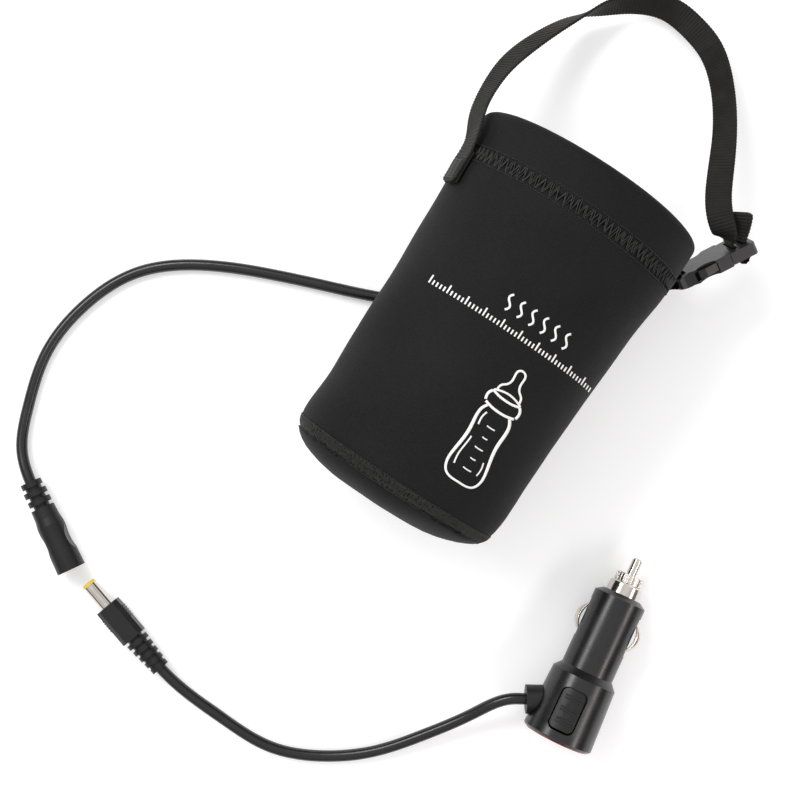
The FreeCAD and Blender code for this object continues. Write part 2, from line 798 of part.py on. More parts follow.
plug_rings = turned(
    [("0", "0")]
    + ring_corners("0", "plug_ring_pitch", "plug_ring_width", 5, "plug_core_radius",
                   [f"plug_ring_rear_radius + ( plug_ring_front_radius - plug_ring_rear_radius ) * {i / 4}"
                    for i in range(5)])
    + [
        ("plug_rings_end + 0.5", "plug_core_radius"),
        ("plug_rings_end + 0.5", "0"),
    ]
)
plug_section = [
    ("plug_half_width", "plug_flat_half_width"),
    ("plug_flat_half_width + 0.5", "plug_half_width - 0.4"),
    ("0 - plug_flat_half_width - 0.5", "plug_half_width - 0.4"),
    ("0 - plug_half_width", "plug_flat_half_width"),
    ("0 - plug_half_width", "0 - plug_flat_half_width"),
    ("0 - plug_flat_half_width - 0.5", "0.4 - plug_half_width"),
    ("plug_flat_half_width + 0.5", "0.4 - plug_half_width"),
    ("plug_half_width", "0 - plug_flat_half_width"),
]
plug_block = plate(plug_section, "plug_length - plug_rings_end")
plug_block.Placement = FreeCAD.Placement(V(value("( plug_length + plug_rings_end ) / 2"), 0, 0), FreeCAD.Rotation(
    V(0, 1, 0), V(0, 0, 1), V(1, 0, 0), "ZXY"))


def grip_ribs():
    """Five small teeth on each side of the plug, for the fingers."""
    teeth = []
    for side in (-1, 1):
        for i in range(5):
            x = value("plug_length - 8.6") + i * 1.15
            teeth.append(box("0.55", "0.7", "4.4", at(x, side * size("plug_half_width") - 0.35, -2.2)))
    return teeth


plug_seat = rod_x("plug_root_radius + 0.02", "plug_length - plug_seat", "plug_length + 1")
plug_blank = cut(fuse(plug_rings, plug_block, *grip_ribs()), plug_seat)
plug_blank.Placement = PLUG
node(cut(plug_blank, plug_cable), "plug_overmould")

plug_barrel_outline = [
    ("plug_length - plug_seat + 0.05", "plug_barrel_bore"),
    ("plug_length - plug_seat + 0.05", "plug_root_radius"),
    ("plug_length + 0.05", "plug_root_radius"),
    ("plug_length + 0.05", "plug_barrel_radius"),
    ("plug_length + plug_barrel_length", "plug_barrel_radius"),
    ("plug_length + plug_barrel_length", "plug_barrel_bore"),
]
node(turned(plug_barrel_outline), "plug_barrel", PLUG)
plug_tip_outline = [
    ("plug_length + plug_barrel_length + 0.02", "plug_contact_radius + 0.02"),
    ("plug_length + plug_barrel_length + 0.02", "plug_tip_radius"),
    ("plug_length + plug_barrel_length + plug_tip_ring - 0.3", "plug_tip_radius"),
    ("plug_length + plug_barrel_length + plug_tip_ring", "plug_tip_radius - 0.3"),
    ("plug_length + plug_barrel_length + plug_tip_ring", "plug_contact_radius + 0.02"),
]
node(turned(plug_tip_outline), "plug_tip_ring", PLUG)
plug_insulator_outline = [
    ("plug_length - plug_seat + 0.6", "plug_contact_radius + 0.02"),
    ("plug_length - plug_seat + 0.6", "plug_barrel_bore - 0.02"),
    ("plug_length + plug_barrel_length", "plug_barrel_bore - 0.02"),
    ("plug_length + plug_barrel_length", "plug_contact_radius + 0.02"),
]
node(turned(plug_insulator_outline), "plug_insulator", PLUG)
plug_contact_outline = [
    ("plug_length - plug_seat + 0.6", "plug_contact_bore"),
    ("plug_length - plug_seat + 0.6", "plug_contact_radius"),
    ("plug_length + plug_barrel_length + plug_tip_ring - 0.4", "plug_contact_radius"),
    ("plug_length + plug_barrel_length + plug_tip_ring - 0.4", "plug_contact_bore"),
]
node(turned(plug_contact_outline), "plug_inner_contact", PLUG)

# ---------------------------------------------------------------- the car plug

housing_outline = [
    ("rim_x", "lens_seat_radius"),
    ("rim_x", "rim_radius - 0.7"),
    ("rim_x + 0.7", "rim_radius"),
    ("cone_start", "shoulder_radius"),
    ("cone_end", "barrel_radius"),
    ("barrel_end", "barrel_radius"),
    ("nose_face", "nose_radius"),
    ("nose_face", "nose_bore"),
    ("nose_face - nose_wall", "nose_bore"),
    ("nose_face - nose_wall", "barrel_cavity_radius"),
    ("cone_end", "barrel_cavity_radius"),
    ("cone_start - 1.5", "rear_cavity_radius"),
    ("rim_x + 2.4", "rear_cavity_radius"),
    ("rim_x + 2.4", "lens_seat_radius"),
]


def rounded_block(length, width, height, centre, corner):
    """A block with its upright corners rounded."""
    half = [
        (f"{length} / 2", f"{width} / 2"),
        (f"0 - {length} / 2", f"{width} / 2"),
        (f"0 - {length} / 2", f"0 - {width} / 2"),
        (f"{length} / 2", f"0 - {width} / 2"),
    ]
    made = plate(half, height, "XY_Plane", corner)
    made.Placement = FreeCAD.Placement(centre, FreeCAD.Rotation())
    return made


# The rocker and the side contacts are turned a little about the plug's axis, away from the very top.
CONTROLS_ROLL = FreeCAD.Placement(V(0, 0, 0), FreeCAD.Rotation(V(1, 0, 0), size("controls_roll")))
CONTROLS = ADAPTER.multiply(CONTROLS_ROLL)


def contact_slot(side):
    corner = at(size("slot_start"), side * 9.5 - 4, -size("slot_half_height"))
    return box("slot_end - slot_start", "8", "2 * slot_half_height", CONTROLS_ROLL.multiply(corner))


switch_centre = V(size("switch_x"), 0, 12.0)
boss_turn = FreeCAD.Rotation(V(0, 0, 1), boss_way)
boss_hole = cylinder("boss_neck_radius + 0.05", "12", FreeCAD.Placement(boss_root - boss_way * 4, boss_turn))
recess = rounded_block("recess_length", "recess_width", "8", switch_centre, 2.6)
recess.Placement = CONTROLS_ROLL.multiply(recess.Placement)
housing = cut(turned(housing_outline), recess, contact_slot(1), contact_slot(-1), boss_hole)
node(housing, "adapter_housing", ADAPTER)

lens_outline = [
    ("0", "0"),
    ("0.15", "5"),
    ("0.55", "9.6"),
    ("1.0", "lens_radius - 0.5"),
    ("rim_x - 0.05", "lens_radius"),
    ("rim_x - 0.05", "lens_seat_radius - 0.06"),
    ("rim_x + 2.3", "lens_seat_radius - 0.06"),
    ("rim_x + 2.3", "lens_seat_radius - 1.2"),
    ("rim_x", "lens_seat_radius - 1.2"),
    ("rim_x", "0"),
]
node(turned(lens_outline), "rear_lens", ADAPTER)

tube_outline = [
    ("spring_rear", "tube_bore"),
    ("spring_rear", "tube_radius"),
    ("tube_end", "tube_radius"),
    ("tube_end", "tube_bore"),
]
node(turned(tube_outline), "fuse_tube", ADAPTER)
bush_outline = [
    ("nose_face - nose_wall - 1", "bush_bore"),
    ("nose_face - nose_wall - 1", "nose_bore - 0.03"),
    ("nose_face + 0.02", "nose_bore - 0.03"),
    ("nose_face + 0.02", "bush_radius + 0.2"),
    ("bush_end - 0.4", "bush_radius"),
    ("bush_end", "bush_radius - 0.4"),
    ("bush_end", "bush_bore"),
]
node(turned(bush_outline), "nose_bush", ADAPTER)

nut_outline = [
    ("nut_spigot_start", "nut_bore"),
    ("nut_spigot_start", "nut_spigot_radius"),
    ("nut_start", "nut_spigot_radius"),
    ("nut_start", "nut_radius - 0.3"),
    ("nut_start + 0.3", "nut_radius"),
    ("nut_end - 0.4", "nut_radius"),
    ("nut_end", "nut_radius - 0.5"),
    ("nut_end", "nut_bore"),
]


def knurls():
    """Vee grooves round the nut, as one set of tools."""
    count = 24
    made = []
    for i in range(count):
        turn = math.radians(360 * i / count)
        centre = V(0, 0, 0) + V(0, math.cos(turn), math.sin(turn)) * (size("nut_radius") + 0.28)
        groove = rod_x("0.5", "nut_start - 1", "nut_end + 1", centre.y, centre.z)
        made.append(groove)
    return fuse(*made)


node(cut(turned(nut_outline), knurls()), "nose_nut", ADAPTER)

tip_outline = [
    ("flange_start", "0"),
    ("flange_start", "flange_radius"),
    ("flange_end", "flange_radius"),
    ("flange_end", "tip_radius"),
    ("tip_end - 0.6", "tip_radius"),
    ("tip_end", "tip_radius - 0.7"),
    ("tip_end", "0"),
]
node(turned(tip_outline), "tip_contact", ADAPTER)

fuse_end = "flange_start - 0.05"
glass_outline = [
    (f"{fuse_end} - fuse_length + 0.6", "fuse_glass_radius - 0.5"),
    (f"{fuse_end} - fuse_length + 0.6", "fuse_glass_radius - 0.05"),
    (f"{fuse_end} - 0.6", "fuse_glass_radius - 0.05"),
    (f"{fuse_end} - 0.6", "fuse_glass_radius - 0.5"),
]
node(turned(glass_outline), "fuse_glass", ADAPTER)


def fuse_cap(outer, inner):
    """A cap between its closed end and its open rim."""
    low, high = sorted((outer, inner), key=value)
    shell = rod_x("fuse_radius", low, high)
    inset = f"( {outer} ) - 0.5" if value(outer) > value(inner) else f"( {outer} ) + 0.5"
    hollow = rod_x("fuse_glass_radius - 0.02", *sorted((inset, inner), key=value))
    return cut(shell, hollow)


rear_end = f"{fuse_end} - fuse_length"
caps = fuse(fuse_cap(fuse_end, f"{fuse_end} - fuse_cap"), fuse_cap(rear_end, f"{rear_end} + fuse_cap"))
node(caps, "fuse_caps", ADAPTER)
element_spot = FreeCAD.Placement(V(value(f"{rear_end} + 0.52"), 0, 0), ALONG_X)
node(cylinder("0.2", "fuse_length - 1.04", ADAPTER.multiply(element_spot)), "fuse_element")

plate_outline = [
    ("spring_rear - 1.1", "0"),
    ("spring_rear - 1.1", "tube_radius"),
    ("spring_rear - 0.3", "tube_radius"),
    ("spring_rear - 0.3", "0"),
]
node(turned(plate_outline), "spring_plate", ADAPTER)


def fuse_spring():
    """A short compression coil between its contact plate and the fuse."""
    helix = doc.addObject("Part::Helix", "Coil")
    helix.setExpression("Radius", cell("spring_radius"))
    length = value(f"{rear_end} - spring_rear")
    turns = 5
    helix.Height = length - 2 * size("spring_wire") + 0.2
    helix.Pitch = helix.Height.Value / turns
    ring = doc.addObject("Part::Circle", "Wire")
    ring.setExpression("Radius", cell("spring_wire"))
    ring.Placement = FreeCAD.Placement(V(size("spring_radius"), 0, 0), FreeCAD.Rotation(V(1, 0, 0), 90))
    made = doc.addObject("Part::Sweep", "Spring")
    made.Sections = [ring]
    made.Spine = (helix, ["Edge1"])
    made.Solid = True
    made.Frenet = True
    return made


spring_seat = FreeCAD.Placement(V(value("spring_rear + spring_wire - 0.25"), 0, 0), ALONG_X)
node(fuse_spring(), "fuse_spring", ADAPTER.multiply(spring_seat))


def ground_contact(side):
    """A bowed leaf: two feet inside the barrel and an arc that stands out through the slot."""
    foot_y = size("barrel_cavity_radius") - 0.7
    start, end = size("slot_start") + 0.5, size("slot_end") - 0.5
    apex = size("barrel_radius") + size("leaf_bulge")
    middle = (start + end) / 2
    leaf, low = size("leaf_thickness"), -size("leaf_half_height")

    def line(inset):
        bow = [V(start, foot_y - inset, low), V(middle, apex - inset, low), V(end, foot_y - inset, low)]
        arc = Part.Arc(*bow).toShape()
        rear = Part.LineSegment(V(start - size("leaf_foot") - 0.4, foot_y - inset, low), bow[0]).toShape()
        front = Part.LineSegment(bow[2], V(end + size("leaf_foot"), foot_y - inset, low)).toShape()
        return [rear, arc, front]

    outer, inner = line(0), line(leaf)
    first, last = outer[0].Vertexes[0].Point, outer[2].Vertexes[1].Point
    closing = [
        Part.LineSegment(last, last - V(0, leaf, 0)).toShape(),
        Part.LineSegment(first, first - V(0, leaf, 0)).toShape(),
    ]
    wire = Part.Wire(Part.__sortEdges__(outer + inner + closing))
    solid = Part.Face(wire).extrude(V(0, 0, -2 * low))
    if side < 0:
        solid = solid.mirror(V(0, 0, 0), V(0, 1, 0))
    return solid


plain(ground_contact(1), "ground_contact_left", CONTROLS)
plain(ground_contact(-1), "ground_contact_right", CONTROLS)


def rocker():
    """The rocker: a rounded block with a dished, ribbed top, on a pivot rod, tipped to its rest position."""
    gap = "2 * rocker_gap"
    top = 13.2
    height = value("rocker_depth")
    block = rounded_block(f"( recess_length - {gap} )", f"( recess_width - {gap} )", "rocker_depth",
                          V(size("switch_x"), 0, top - height / 2), 2.2)
    dish = cylinder("60", "20", FreeCAD.Placement(V(size("switch_x"), 10, top + 59.3), FreeCAD.Rotation(
        V(1, 0, 0), 90)))
    crown = cylinder("12.6", "30", FreeCAD.Placement(V(size("switch_x") - 15, 0, 0), ALONG_X))
    body = common(cut(block, dish), crown)
    ribs = []
    for row in (-4.6, 0, 4.6):
        for offset in (-0.55, 0.55):
            ribs.append(box("0.5", "6.4", "1.1", at(size("switch_x") + row + offset - 0.25, -3.2, 11.9)))
    stem = box("5", "3", "2.4", at(size("switch_x") - 2.5, -1.5, size("rocker_pivot_z") - 1.3))
    axle = cylinder("0.9", "6.6", FreeCAD.Placement(V(size("switch_x"), 3.3, size("rocker_pivot_z")),
                                                    FreeCAD.Rotation(V(1, 0, 0), 90)))
    return fuse(body, *ribs, stem, axle)


pivot = V(size("switch_x"), 0, size("rocker_pivot_z"))
rest_tilt = FreeCAD.Placement(V(0, 0, 0), FreeCAD.Rotation(V(0, 1, 0), size("rocker_rest_tilt")), pivot)
node(rocker(), "switch_rocker", CONTROLS.multiply(rest_tilt))

switch_block = cut(
    box("13.6", "9.4", "8.6", at(size("switch_x") - 6.8, -4.7, 0.6)),
    box("12.2", "7.8", "6.2", at(size("switch_x") - 6.1, -3.9, 5.2)),
    cylinder("0.95", "9", FreeCAD.Placement(V(size("switch_x"), 4.2, size("rocker_pivot_z")), FreeCAD.Rotation(
        V(1, 0, 0), 90))),
)
node(cut(switch_block, box("1.9", "8.4", "3", at(size("switch_x") - 0.95, -4.2, size("rocker_pivot_z")))),
     "switch_block", CONTROLS)

node(box("1.0", "10.6", "9", at(0, 0, 0)), "circuit_board", ADAPTER.multiply(at(4.6, -5.3, -9.4)))
led = fuse(rod_x("1.5", "2.6", "4.4", 0.0, -5.0), rod_x("1.8", "3.9", "4.5", 0.0, -5.0))
node(led, "indicator_led", ADAPTER)


def inner_wire(points):
    return swept([ADAPTER.multVec(V(*p)) for p in points], "wire_radius + 0.15")


boss_end = boss_root - boss_way * 0.6
node(inner_wire([(boss_end.x, boss_end.y - 0.4, 1.0), (14.5, 7.6, 1.6), (17.5, 6.4, -1.2),
                 (20.5, 3.0, -2.0), (20.6, 0.5, -1.0)]), "adapter_wire_red")
node(inner_wire([(boss_end.x, boss_end.y - 0.4, -1.2), (12.0, 7.0, -3.4), (8.5, 4.0, -5.6),
                 (6.4, 1.0, -6.2)]), "adapter_wire_black")

# The cable's strain relief: a rubber boss that sits on the curved wall and necks down through it.
boss_body = cylinder("boss_radius", "boss_length - 11", FreeCAD.Placement(boss_root + boss_way * 1.0, boss_turn))
wall_form = turned([
    ("0", "0"),
    ("0", "rim_radius + 0.22"),
    ("cone_start", "shoulder_radius + 0.1"),
    ("cone_start", "0"),
])
boss_neck = cylinder("boss_neck_radius", "4", FreeCAD.Placement(boss_root + boss_way * 0.2, boss_turn))
boss_blank = fuse(cut(boss_body, wall_form), boss_neck)
boss_blank.Placement = ADAPTER
node(cut(boss_blank, plug_cable), "cable_boss")

# ---------------------------------------------------------------- the strap and its buckle


def sewn_tab(angle, drop=0.0):
    """A doubled end of webbing, sewn flat on the sleeve below the rim."""
    length, half = size("tab_length"), size("webbing_width") / 2
    middle = (size("cuff_y") + size("cuff_thread_width") / 2) - 3.0 - length / 2 - drop
    low, high = (on_sleeve(middle + step, angle, 0) for step in (-length / 2, length / 2))
    along = (high - low).normalize()
    out = outward_at(middle, angle)
    out = (out - along * out.dot(along)).normalize()
    block = Part.makeBox(2 * half, size("tab_thickness"), length, V(-half, size("thread_lift") + 0.12, -length / 2))
    block.Placement = FreeCAD.Placement((low + high) * 0.5, FreeCAD.Rotation(out.cross(along), out, along, "XYZ"))
    return block


plain(sewn_tab(size("tab_angle")), "strap_sewn_tab")
plain(sewn_tab(size("loop_tab_angle"), 1.4), "loop_sewn_tab")
plain(ribbon(STRAP_PATH, size("webbing_width"), size("webbing_thickness")), "strap_webbing")


def mirrored(points):
    """An outline made whole by repeating its upper half below the x axis."""
    return points + [(x, f"0 - ( {y} )") for x, y in reversed(points)]


female_outline = mirrored([
    ("0", "buckle_width / 2 - 1.2"),
    ("0.9", "buckle_width / 2 - 0.5"),
    ("2.6", "buckle_width / 2 - 0.6"),
    ("5.2", "buckle_width / 2 - 1.5"),
    ("window_start", "buckle_width / 2 - 0.7"),
    ("window_start + 1.6", "buckle_width / 2"),
    ("female_length", "buckle_width / 2"),
])


def through_slot(start, width):
    """A slot through a buckle's thickness, for webbing."""
    made = box(width, "2 * slot_half_width", "12", at(0, 0, -6))
    made.setExpression(".Placement.Base.x", cell(start))
    made.setExpression(".Placement.Base.y", cell("0 - slot_half_width"))
    return made


def centred_block(start, end, half_width, thickness):
    made = box(f"( {end} ) - ( {start} )", f"2 * ( {half_width} )", thickness, at())
    made.setExpression(".Placement.Base.x", cell(start))
    made.setExpression(".Placement.Base.y", cell(f"0 - ( {half_width} )"))
    made.setExpression(".Placement.Base.z", cell(f"0 - ( {thickness} ) / 2"))
    return made


def bar_relief(side):
    """The wedge that thins one face of the female half towards its bar."""
    thick, bar = size("buckle_thickness") / 2, size("bar_thickness") / 2
    corners = [(-1, bar), (0, bar), (size("bar_run"), thick), (size("bar_run"), thick + 1), (-1, thick + 1)]
    wedge = doc.addObject("Part::Feature", "Relief")
    edge = [V(x, -20, side * z) for x, z in corners + corners[:1]]
    wedge.Shape = Part.Face(Part.makePolygon(edge)).extrude(V(0, 40, 0))
    return wedge


def thumb_hollow(side):
    """The round bite in one side of the female half, where a thumb reaches the arm."""
    made = cylinder("scallop_radius", "12", at(0, 0, -6))
    made.setExpression(".Placement.Base.x", cell("scallop_x"))
    made.setExpression(".Placement.Base.y", cell(f"{side} * ( buckle_width / 2 + scallop_radius - scallop_bite )"))
    return made


female = cut(
    plate(female_outline, "buckle_thickness", "XY_Plane"),
    bar_relief(1),
    bar_relief(-1),
    through_slot("loop_bar", "loop_slot"),
    centred_block("window_start", "female_length + 1", "pocket_half_width", "pocket_height"),
    centred_block("window_start", "window_end", "buckle_width", "pocket_height"),
    thumb_hollow(1),
    thumb_hollow(-1),
)
node(female, "buckle_female", BUCKLE)

male_outline = mirrored([
    ("male_start", "buckle_width / 2"),
    ("male_end - 1.0", "buckle_width / 2"),
    ("male_end", "buckle_width / 2 - 1.0"),
])
male = cut(
    fuse(
        plate(male_outline, "male_thickness", "XY_Plane"),
        centred_block("guide_start", "male_start + 0.5", "guide_half_width", "arm_thickness"),
    ),
    through_slot("ladder_bar_start - ladder_slot", "ladder_slot"),
    through_slot("ladder_bar_end", "ladder_slot"),
)
node(male, "buckle_male", BUCKLE)

# One springy arm: a thin beam from the male half, and the pad that fills the window and latches.
arm_outline = [
    ("male_start - 0.05", "3.0"),
    ("male_start - 0.05", "5.2"),
    ("window_end - 0.1", "5.4"),
    ("window_end - 0.1", "7.85"),
    ("window_start + 4.2", "8.35"),
    ("window_start + 1.6", "7.4"),
    ("window_start + 0.3", "5.6"),
    ("window_start + 0.3", "4.0"),
    ("window_start + 3.5", "3.2"),
    ("window_end", "3.5"),
]
left_arm = plate(arm_outline, "arm_thickness", "XY_Plane")
node(left_arm, "prong_left", BUCKLE)
right_arm = plate([(x, f"0 - ( {y} )") for x, y in arm_outline], "arm_thickness", "XY_Plane")
node(right_arm, "prong_right", BUCKLE)


def flat_strip(points, label, thickness):
    """Webbing folded in the buckle's local xz plane, as wide as its slots."""
    half = size("webbing_width") / 2
    line = Part.makePolygon([V(x, -half, z) for x, z in points])
    band = line.makeOffset2D(thickness / 2, 0, False, False, False)
    return plain(Part.Face(band).extrude(V(0, 2 * half, 0)), label, BUCKLE)


flat_strip([
    (-1.0, -1.2),
    (-0.3, -2.2),
    (size("loop_bar") + 1.3, -2.95),
    (size("loop_bar") + 1.3, 2.95),
    (-0.3, 2.2),
    (-1.0, 1.2),
], "buckle_loop", 0.7)

bar_start, bar_end = size("ladder_bar_start"), size("ladder_bar_end")
flat_strip([
    (bar_start - 1.05, 4.0),
    (bar_start - 1.05, -3.3),
    (bar_end + 1.0, -3.3),
    (bar_end + 1.0, 3.4),
    (bar_end + 3.6, 8.4),
    (bar_end + 8.6, 16.2),
], "strap_tail", 1.0)


# ---------------------------------------------------------------- checks and export


def check_and_write():
    doc.recompute()
    for obj in doc.Objects:
        if "Invalid" in obj.State or "Error" in obj.State:
            raise RuntimeError(f"{obj.Name} ({obj.Label}) failed: {obj.State}")
    os.makedirs("parts", exist_ok=True)
    for old in os.listdir("parts"):
        os.remove(os.path.join("parts", old))
    for obj in nodes:
        shape = obj.Shape
        if shape.isNull() or not shape.isValid() or not shape.Solids:
            raise RuntimeError(f"{obj.Label} has no valid solid")
        shape.exportStep(os.path.join("parts", obj.Label + ".step"))
        print(f"{obj.Label}: {len(shape.Solids)} solid, {shape.Volume:.1f} mm3")


check_and_write()
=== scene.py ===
import math
import random

import bpy
import numpy as np
from mathutils import Matrix, Vector


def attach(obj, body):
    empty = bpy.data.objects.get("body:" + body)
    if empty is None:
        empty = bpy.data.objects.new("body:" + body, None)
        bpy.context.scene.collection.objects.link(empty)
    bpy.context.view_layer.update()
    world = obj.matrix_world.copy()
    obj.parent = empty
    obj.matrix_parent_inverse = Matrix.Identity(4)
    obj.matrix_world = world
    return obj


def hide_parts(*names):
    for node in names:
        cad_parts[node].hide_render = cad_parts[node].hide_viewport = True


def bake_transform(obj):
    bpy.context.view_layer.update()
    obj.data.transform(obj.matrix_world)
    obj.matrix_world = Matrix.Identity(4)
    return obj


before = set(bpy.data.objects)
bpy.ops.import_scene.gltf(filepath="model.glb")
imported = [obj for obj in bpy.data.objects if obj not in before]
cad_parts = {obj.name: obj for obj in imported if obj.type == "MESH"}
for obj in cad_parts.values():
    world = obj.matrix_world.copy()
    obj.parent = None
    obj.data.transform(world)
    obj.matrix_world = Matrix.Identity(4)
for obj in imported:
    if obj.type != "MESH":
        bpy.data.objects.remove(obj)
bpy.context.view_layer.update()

# A bottle warmer lying on a table: +Y runs along the sleeve to its mouth and +Z is up. Lengths are in
# millimetres, and become metres where a mesh is made.
MM = 0.001
PER_METRE = 1000.0
FLOOR = -42.15
rng = random.Random(11)


# ---------------------------------------------------------------- frames and curves


def turn(axis, degrees):
    return np.array(Matrix.Rotation(math.radians(degrees), 3, axis))


class Spot:
    """A local frame in millimetres: x along heading, tipped nose-down by pitch, rolled about x."""

    def __init__(self, x, y, z, heading=0.0, pitch=0.0, roll=0.0):
        self.base = np.array([x, y, z], float)
        self.turn = turn("Z", heading) @ turn("Y", pitch) @ turn("X", roll)

    def out(self, points):
        return np.asarray(points, float) @ self.turn.T + self.base

    def way(self, vector):
        return self.turn @ np.asarray(vector, float)


JACK = Spot(-115.6, -68.6, FLOOR + 5.6, -31.6)
PLUG = Spot(-34.6, -101.1, FLOOR + 4.75, 163.7)
ADAPTER_PLACE = (105.8, -40.5, FLOOR + 13.8 + 0.12, 98.1, 3.5)
ADAPTER = Spot(*ADAPTER_PLACE)
CONTROLS = Spot(*ADAPTER_PLACE, roll=-12.0)  # the adapter's rocker and side springs are turned a little
BUCKLE = Spot(46.5, 128.3, -18.3, 60.4, 0.0, -72.0)


def unit(v):
    v = np.asarray(v, float)
    return v / np.maximum(np.linalg.norm(v, axis=-1, keepdims=True), 1e-12)


def spline(points, step):
    """Points every step or so along a natural cubic curve through the given points."""
    points = np.asarray(points, float)
    gaps = np.linalg.norm(np.diff(points[:, :3], axis=0), axis=1)
    knots = np.concatenate([[0], np.cumsum(gaps)])
    count = len(points)
    system = np.zeros((count, count))
    right = np.zeros((count, points.shape[1]))
    system[0, 0] = system[-1, -1] = 1
    for i in range(1, count - 1):
        before, after = gaps[i - 1], gaps[i]
        system[i, i - 1 : i + 2] = before, 2 * (before + after), after
        right[i] = 6 * ((points[i + 1] - points[i]) / after - (points[i] - points[i - 1]) / before)
    bend = np.linalg.solve(system, right)
    at = np.linspace(0, knots[-1], max(8, int(knots[-1] / step)))
    i = np.clip(np.searchsorted(knots, at, side="right") - 1, 0, count - 2)
    h, t = gaps[i][:, None], (at - knots[i])[:, None]
    a, b, p, q = bend[i], bend[i + 1], points[i], points[i + 1]
    rest = h - t
    return a * rest**3 / (6 * h) + b * t**3 / (6 * h) + (p / h - a * h / 6) * rest + (q / h - b * h / 6) * t


# ---------------------------------------------------------------- meshes


def make(name, points, faces, mat, body, nodes=(), smooth=True):
    """A mesh piece from points in millimetres. It rides on body and stands for the CAD nodes."""
    mesh = bpy.data.meshes.new(name)
    mesh.from_pydata((np.asarray(points, float) * MM).tolist(), [], faces)
    mesh.validate()
    mesh.polygons.foreach_set("use_smooth", [smooth] * len(mesh.polygons))
    mesh.materials.append(mat)
    obj = bpy.data.objects.new(name, mesh)
    bpy.context.collection.objects.link(obj)
    if body:
        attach(obj, body)
    if nodes:
        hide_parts(*nodes)
    return obj


def skin(rows, cols, wrap_rows):
    """Quads over rings of points stored ring by ring. The last ring may join the first."""
    faces = []
    for r in range(rows if wrap_rows else rows - 1):
        low, high = r * cols, ((r + 1) % rows) * cols
        for c in range(cols):
            d = (c + 1) % cols
            faces.append((low + c, low + d, high + d, high + c))
    return faces


class Pile:
    """Several closed shapes gathered into one mesh."""

    def __init__(self):
        self.points, self.faces, self.count = [], [], 0

    def add(self, points, faces):
        self.points.append(np.asarray(points, float))
        self.faces += [tuple(i + self.count for i in f) for f in faces]
        self.count += len(points)

    def loops(self, rings, closed=False):
        """A skin over rings of points, capped at both ends unless the last ring joins the first."""
        rings = np.asarray(rings, float)
        rows, cols = rings.shape[:2]
        faces = skin(rows, cols, closed)
        if not closed:
            faces.append(tuple(range(cols))[::-1])
            faces.append(tuple((rows - 1) * cols + c for c in range(cols)))
        self.add(rings.reshape(-1, 3), faces)

    def finish(self, name, mat, body, nodes):
        return make(name, np.concatenate(self.points), self.faces, mat, body, nodes)


def tube_rings(path, radius, sides=6):
    """Rings round a path, carried along without twist. The radius may vary along the path."""
    path = np.asarray(path, float)
    along = unit(np.gradient(path, axis=0))
    side = unit(np.cross(along[0], [0.3, 0.2, 1.0]))
    turns = np.linspace(0, 2 * math.pi, sides, endpoint=False)
    radius = np.broadcast_to(radius, (len(path),))
    rings = []
    for p, a, r in zip(path, along, radius):
        side = unit(side - a * np.dot(side, a))
        up = np.cross(a, side)
        rings.append(p + r * (np.cos(turns)[:, None] * side + np.sin(turns)[:, None] * up))
    return np.array(rings)


def soften(obj, width, segments):
    """Rounds the sharp edges of a moulded or machined piece."""
    bevel = obj.modifiers.new("Edges", "BEVEL")
    bevel.width = width * MM
    bevel.segments = segments
    bevel.limit_method = "ANGLE"
    bevel.angle_limit = math.radians(35.0)
    bevel.harden_normals = True
    bevel.use_clamp_overlap = True


# ---------------------------------------------------------------- materials


class Nodes:
    """A short hand for building a material's node tree."""

    def __init__(self, name):
        self.mat = bpy.data.materials.new(name)
        self.mat.use_nodes = True
        self.tree = self.mat.node_tree
        self.shader = self.tree.nodes["Principled BSDF"]
        self.coords = self.add("ShaderNodeTexCoord").outputs["Object"]

    def add(self, kind, **inputs):
        node = self.tree.nodes.new(kind)
        for key, value in inputs.items():
            self.feed(node.inputs[key.replace("_", " ")], value)
        return node

    def feed(self, socket, value):
        if isinstance(value, bpy.types.NodeSocket):
            self.tree.links.new(value, socket)
        else:
            socket.default_value = value

    def set(self, **inputs):
        for key, value in inputs.items():
            self.feed(self.shader.inputs[key.replace("_", " ")], value)

    def noise(self, per_mm, detail=3.0, rough=0.55, stretch=None):
        coords = self.coords
        if stretch:
            mapping = self.add("ShaderNodeMapping", Vector=coords)
            mapping.inputs["Scale"].default_value = stretch
            coords = mapping.outputs[0]
        node = self.add("ShaderNodeTexNoise", Vector=coords, Scale=per_mm * PER_METRE, Detail=detail)
        node.inputs["Roughness"].default_value = rough
        return node.outputs["Fac"]

    def voronoi(self, per_mm):
        node = self.add("ShaderNodeTexVoronoi", Vector=self.coords, Scale=per_mm * PER_METRE)
        return node.outputs["Distance"]

    def ramp(self, value, *stops):
        """A blend of colours or levels along a value: (position, level or colour)."""
        node = self.add("ShaderNodeValToRGB", Fac=value)
        band = node.color_ramp
        while len(band.elements) < len(stops):
            band.elements.new(0.5)
        for element, (position, level) in zip(band.elements, stops):
            element.position = position
            element.color = (*level, 1.0) if isinstance(level, tuple) else (level, level, level, 1.0)
        return node.outputs["Color"]

    def math(self, how, a, b=0.0):
        node = self.add("ShaderNodeMath")
        node.operation = how
        self.feed(node.inputs[0], a)
        self.feed(node.inputs[1], b)
        return node.outputs[0]

    def mix(self, share, a, b):
        node = self.add("ShaderNodeMix")
        node.data_type = "RGBA"
        self.feed(node.inputs["Factor"], share)
        self.feed(node.inputs[6], a)
        self.feed(node.inputs[7], b)
        return node.outputs[2]

    def bump(self, height, depth_mm, strength=1.0, under=None):
        node = self.add("ShaderNodeBump", Height=height, Distance=depth_mm * MM, Strength=strength)
        if under is not None:
            self.tree.links.new(under, node.inputs["Normal"])
        return node.outputs["Normal"]


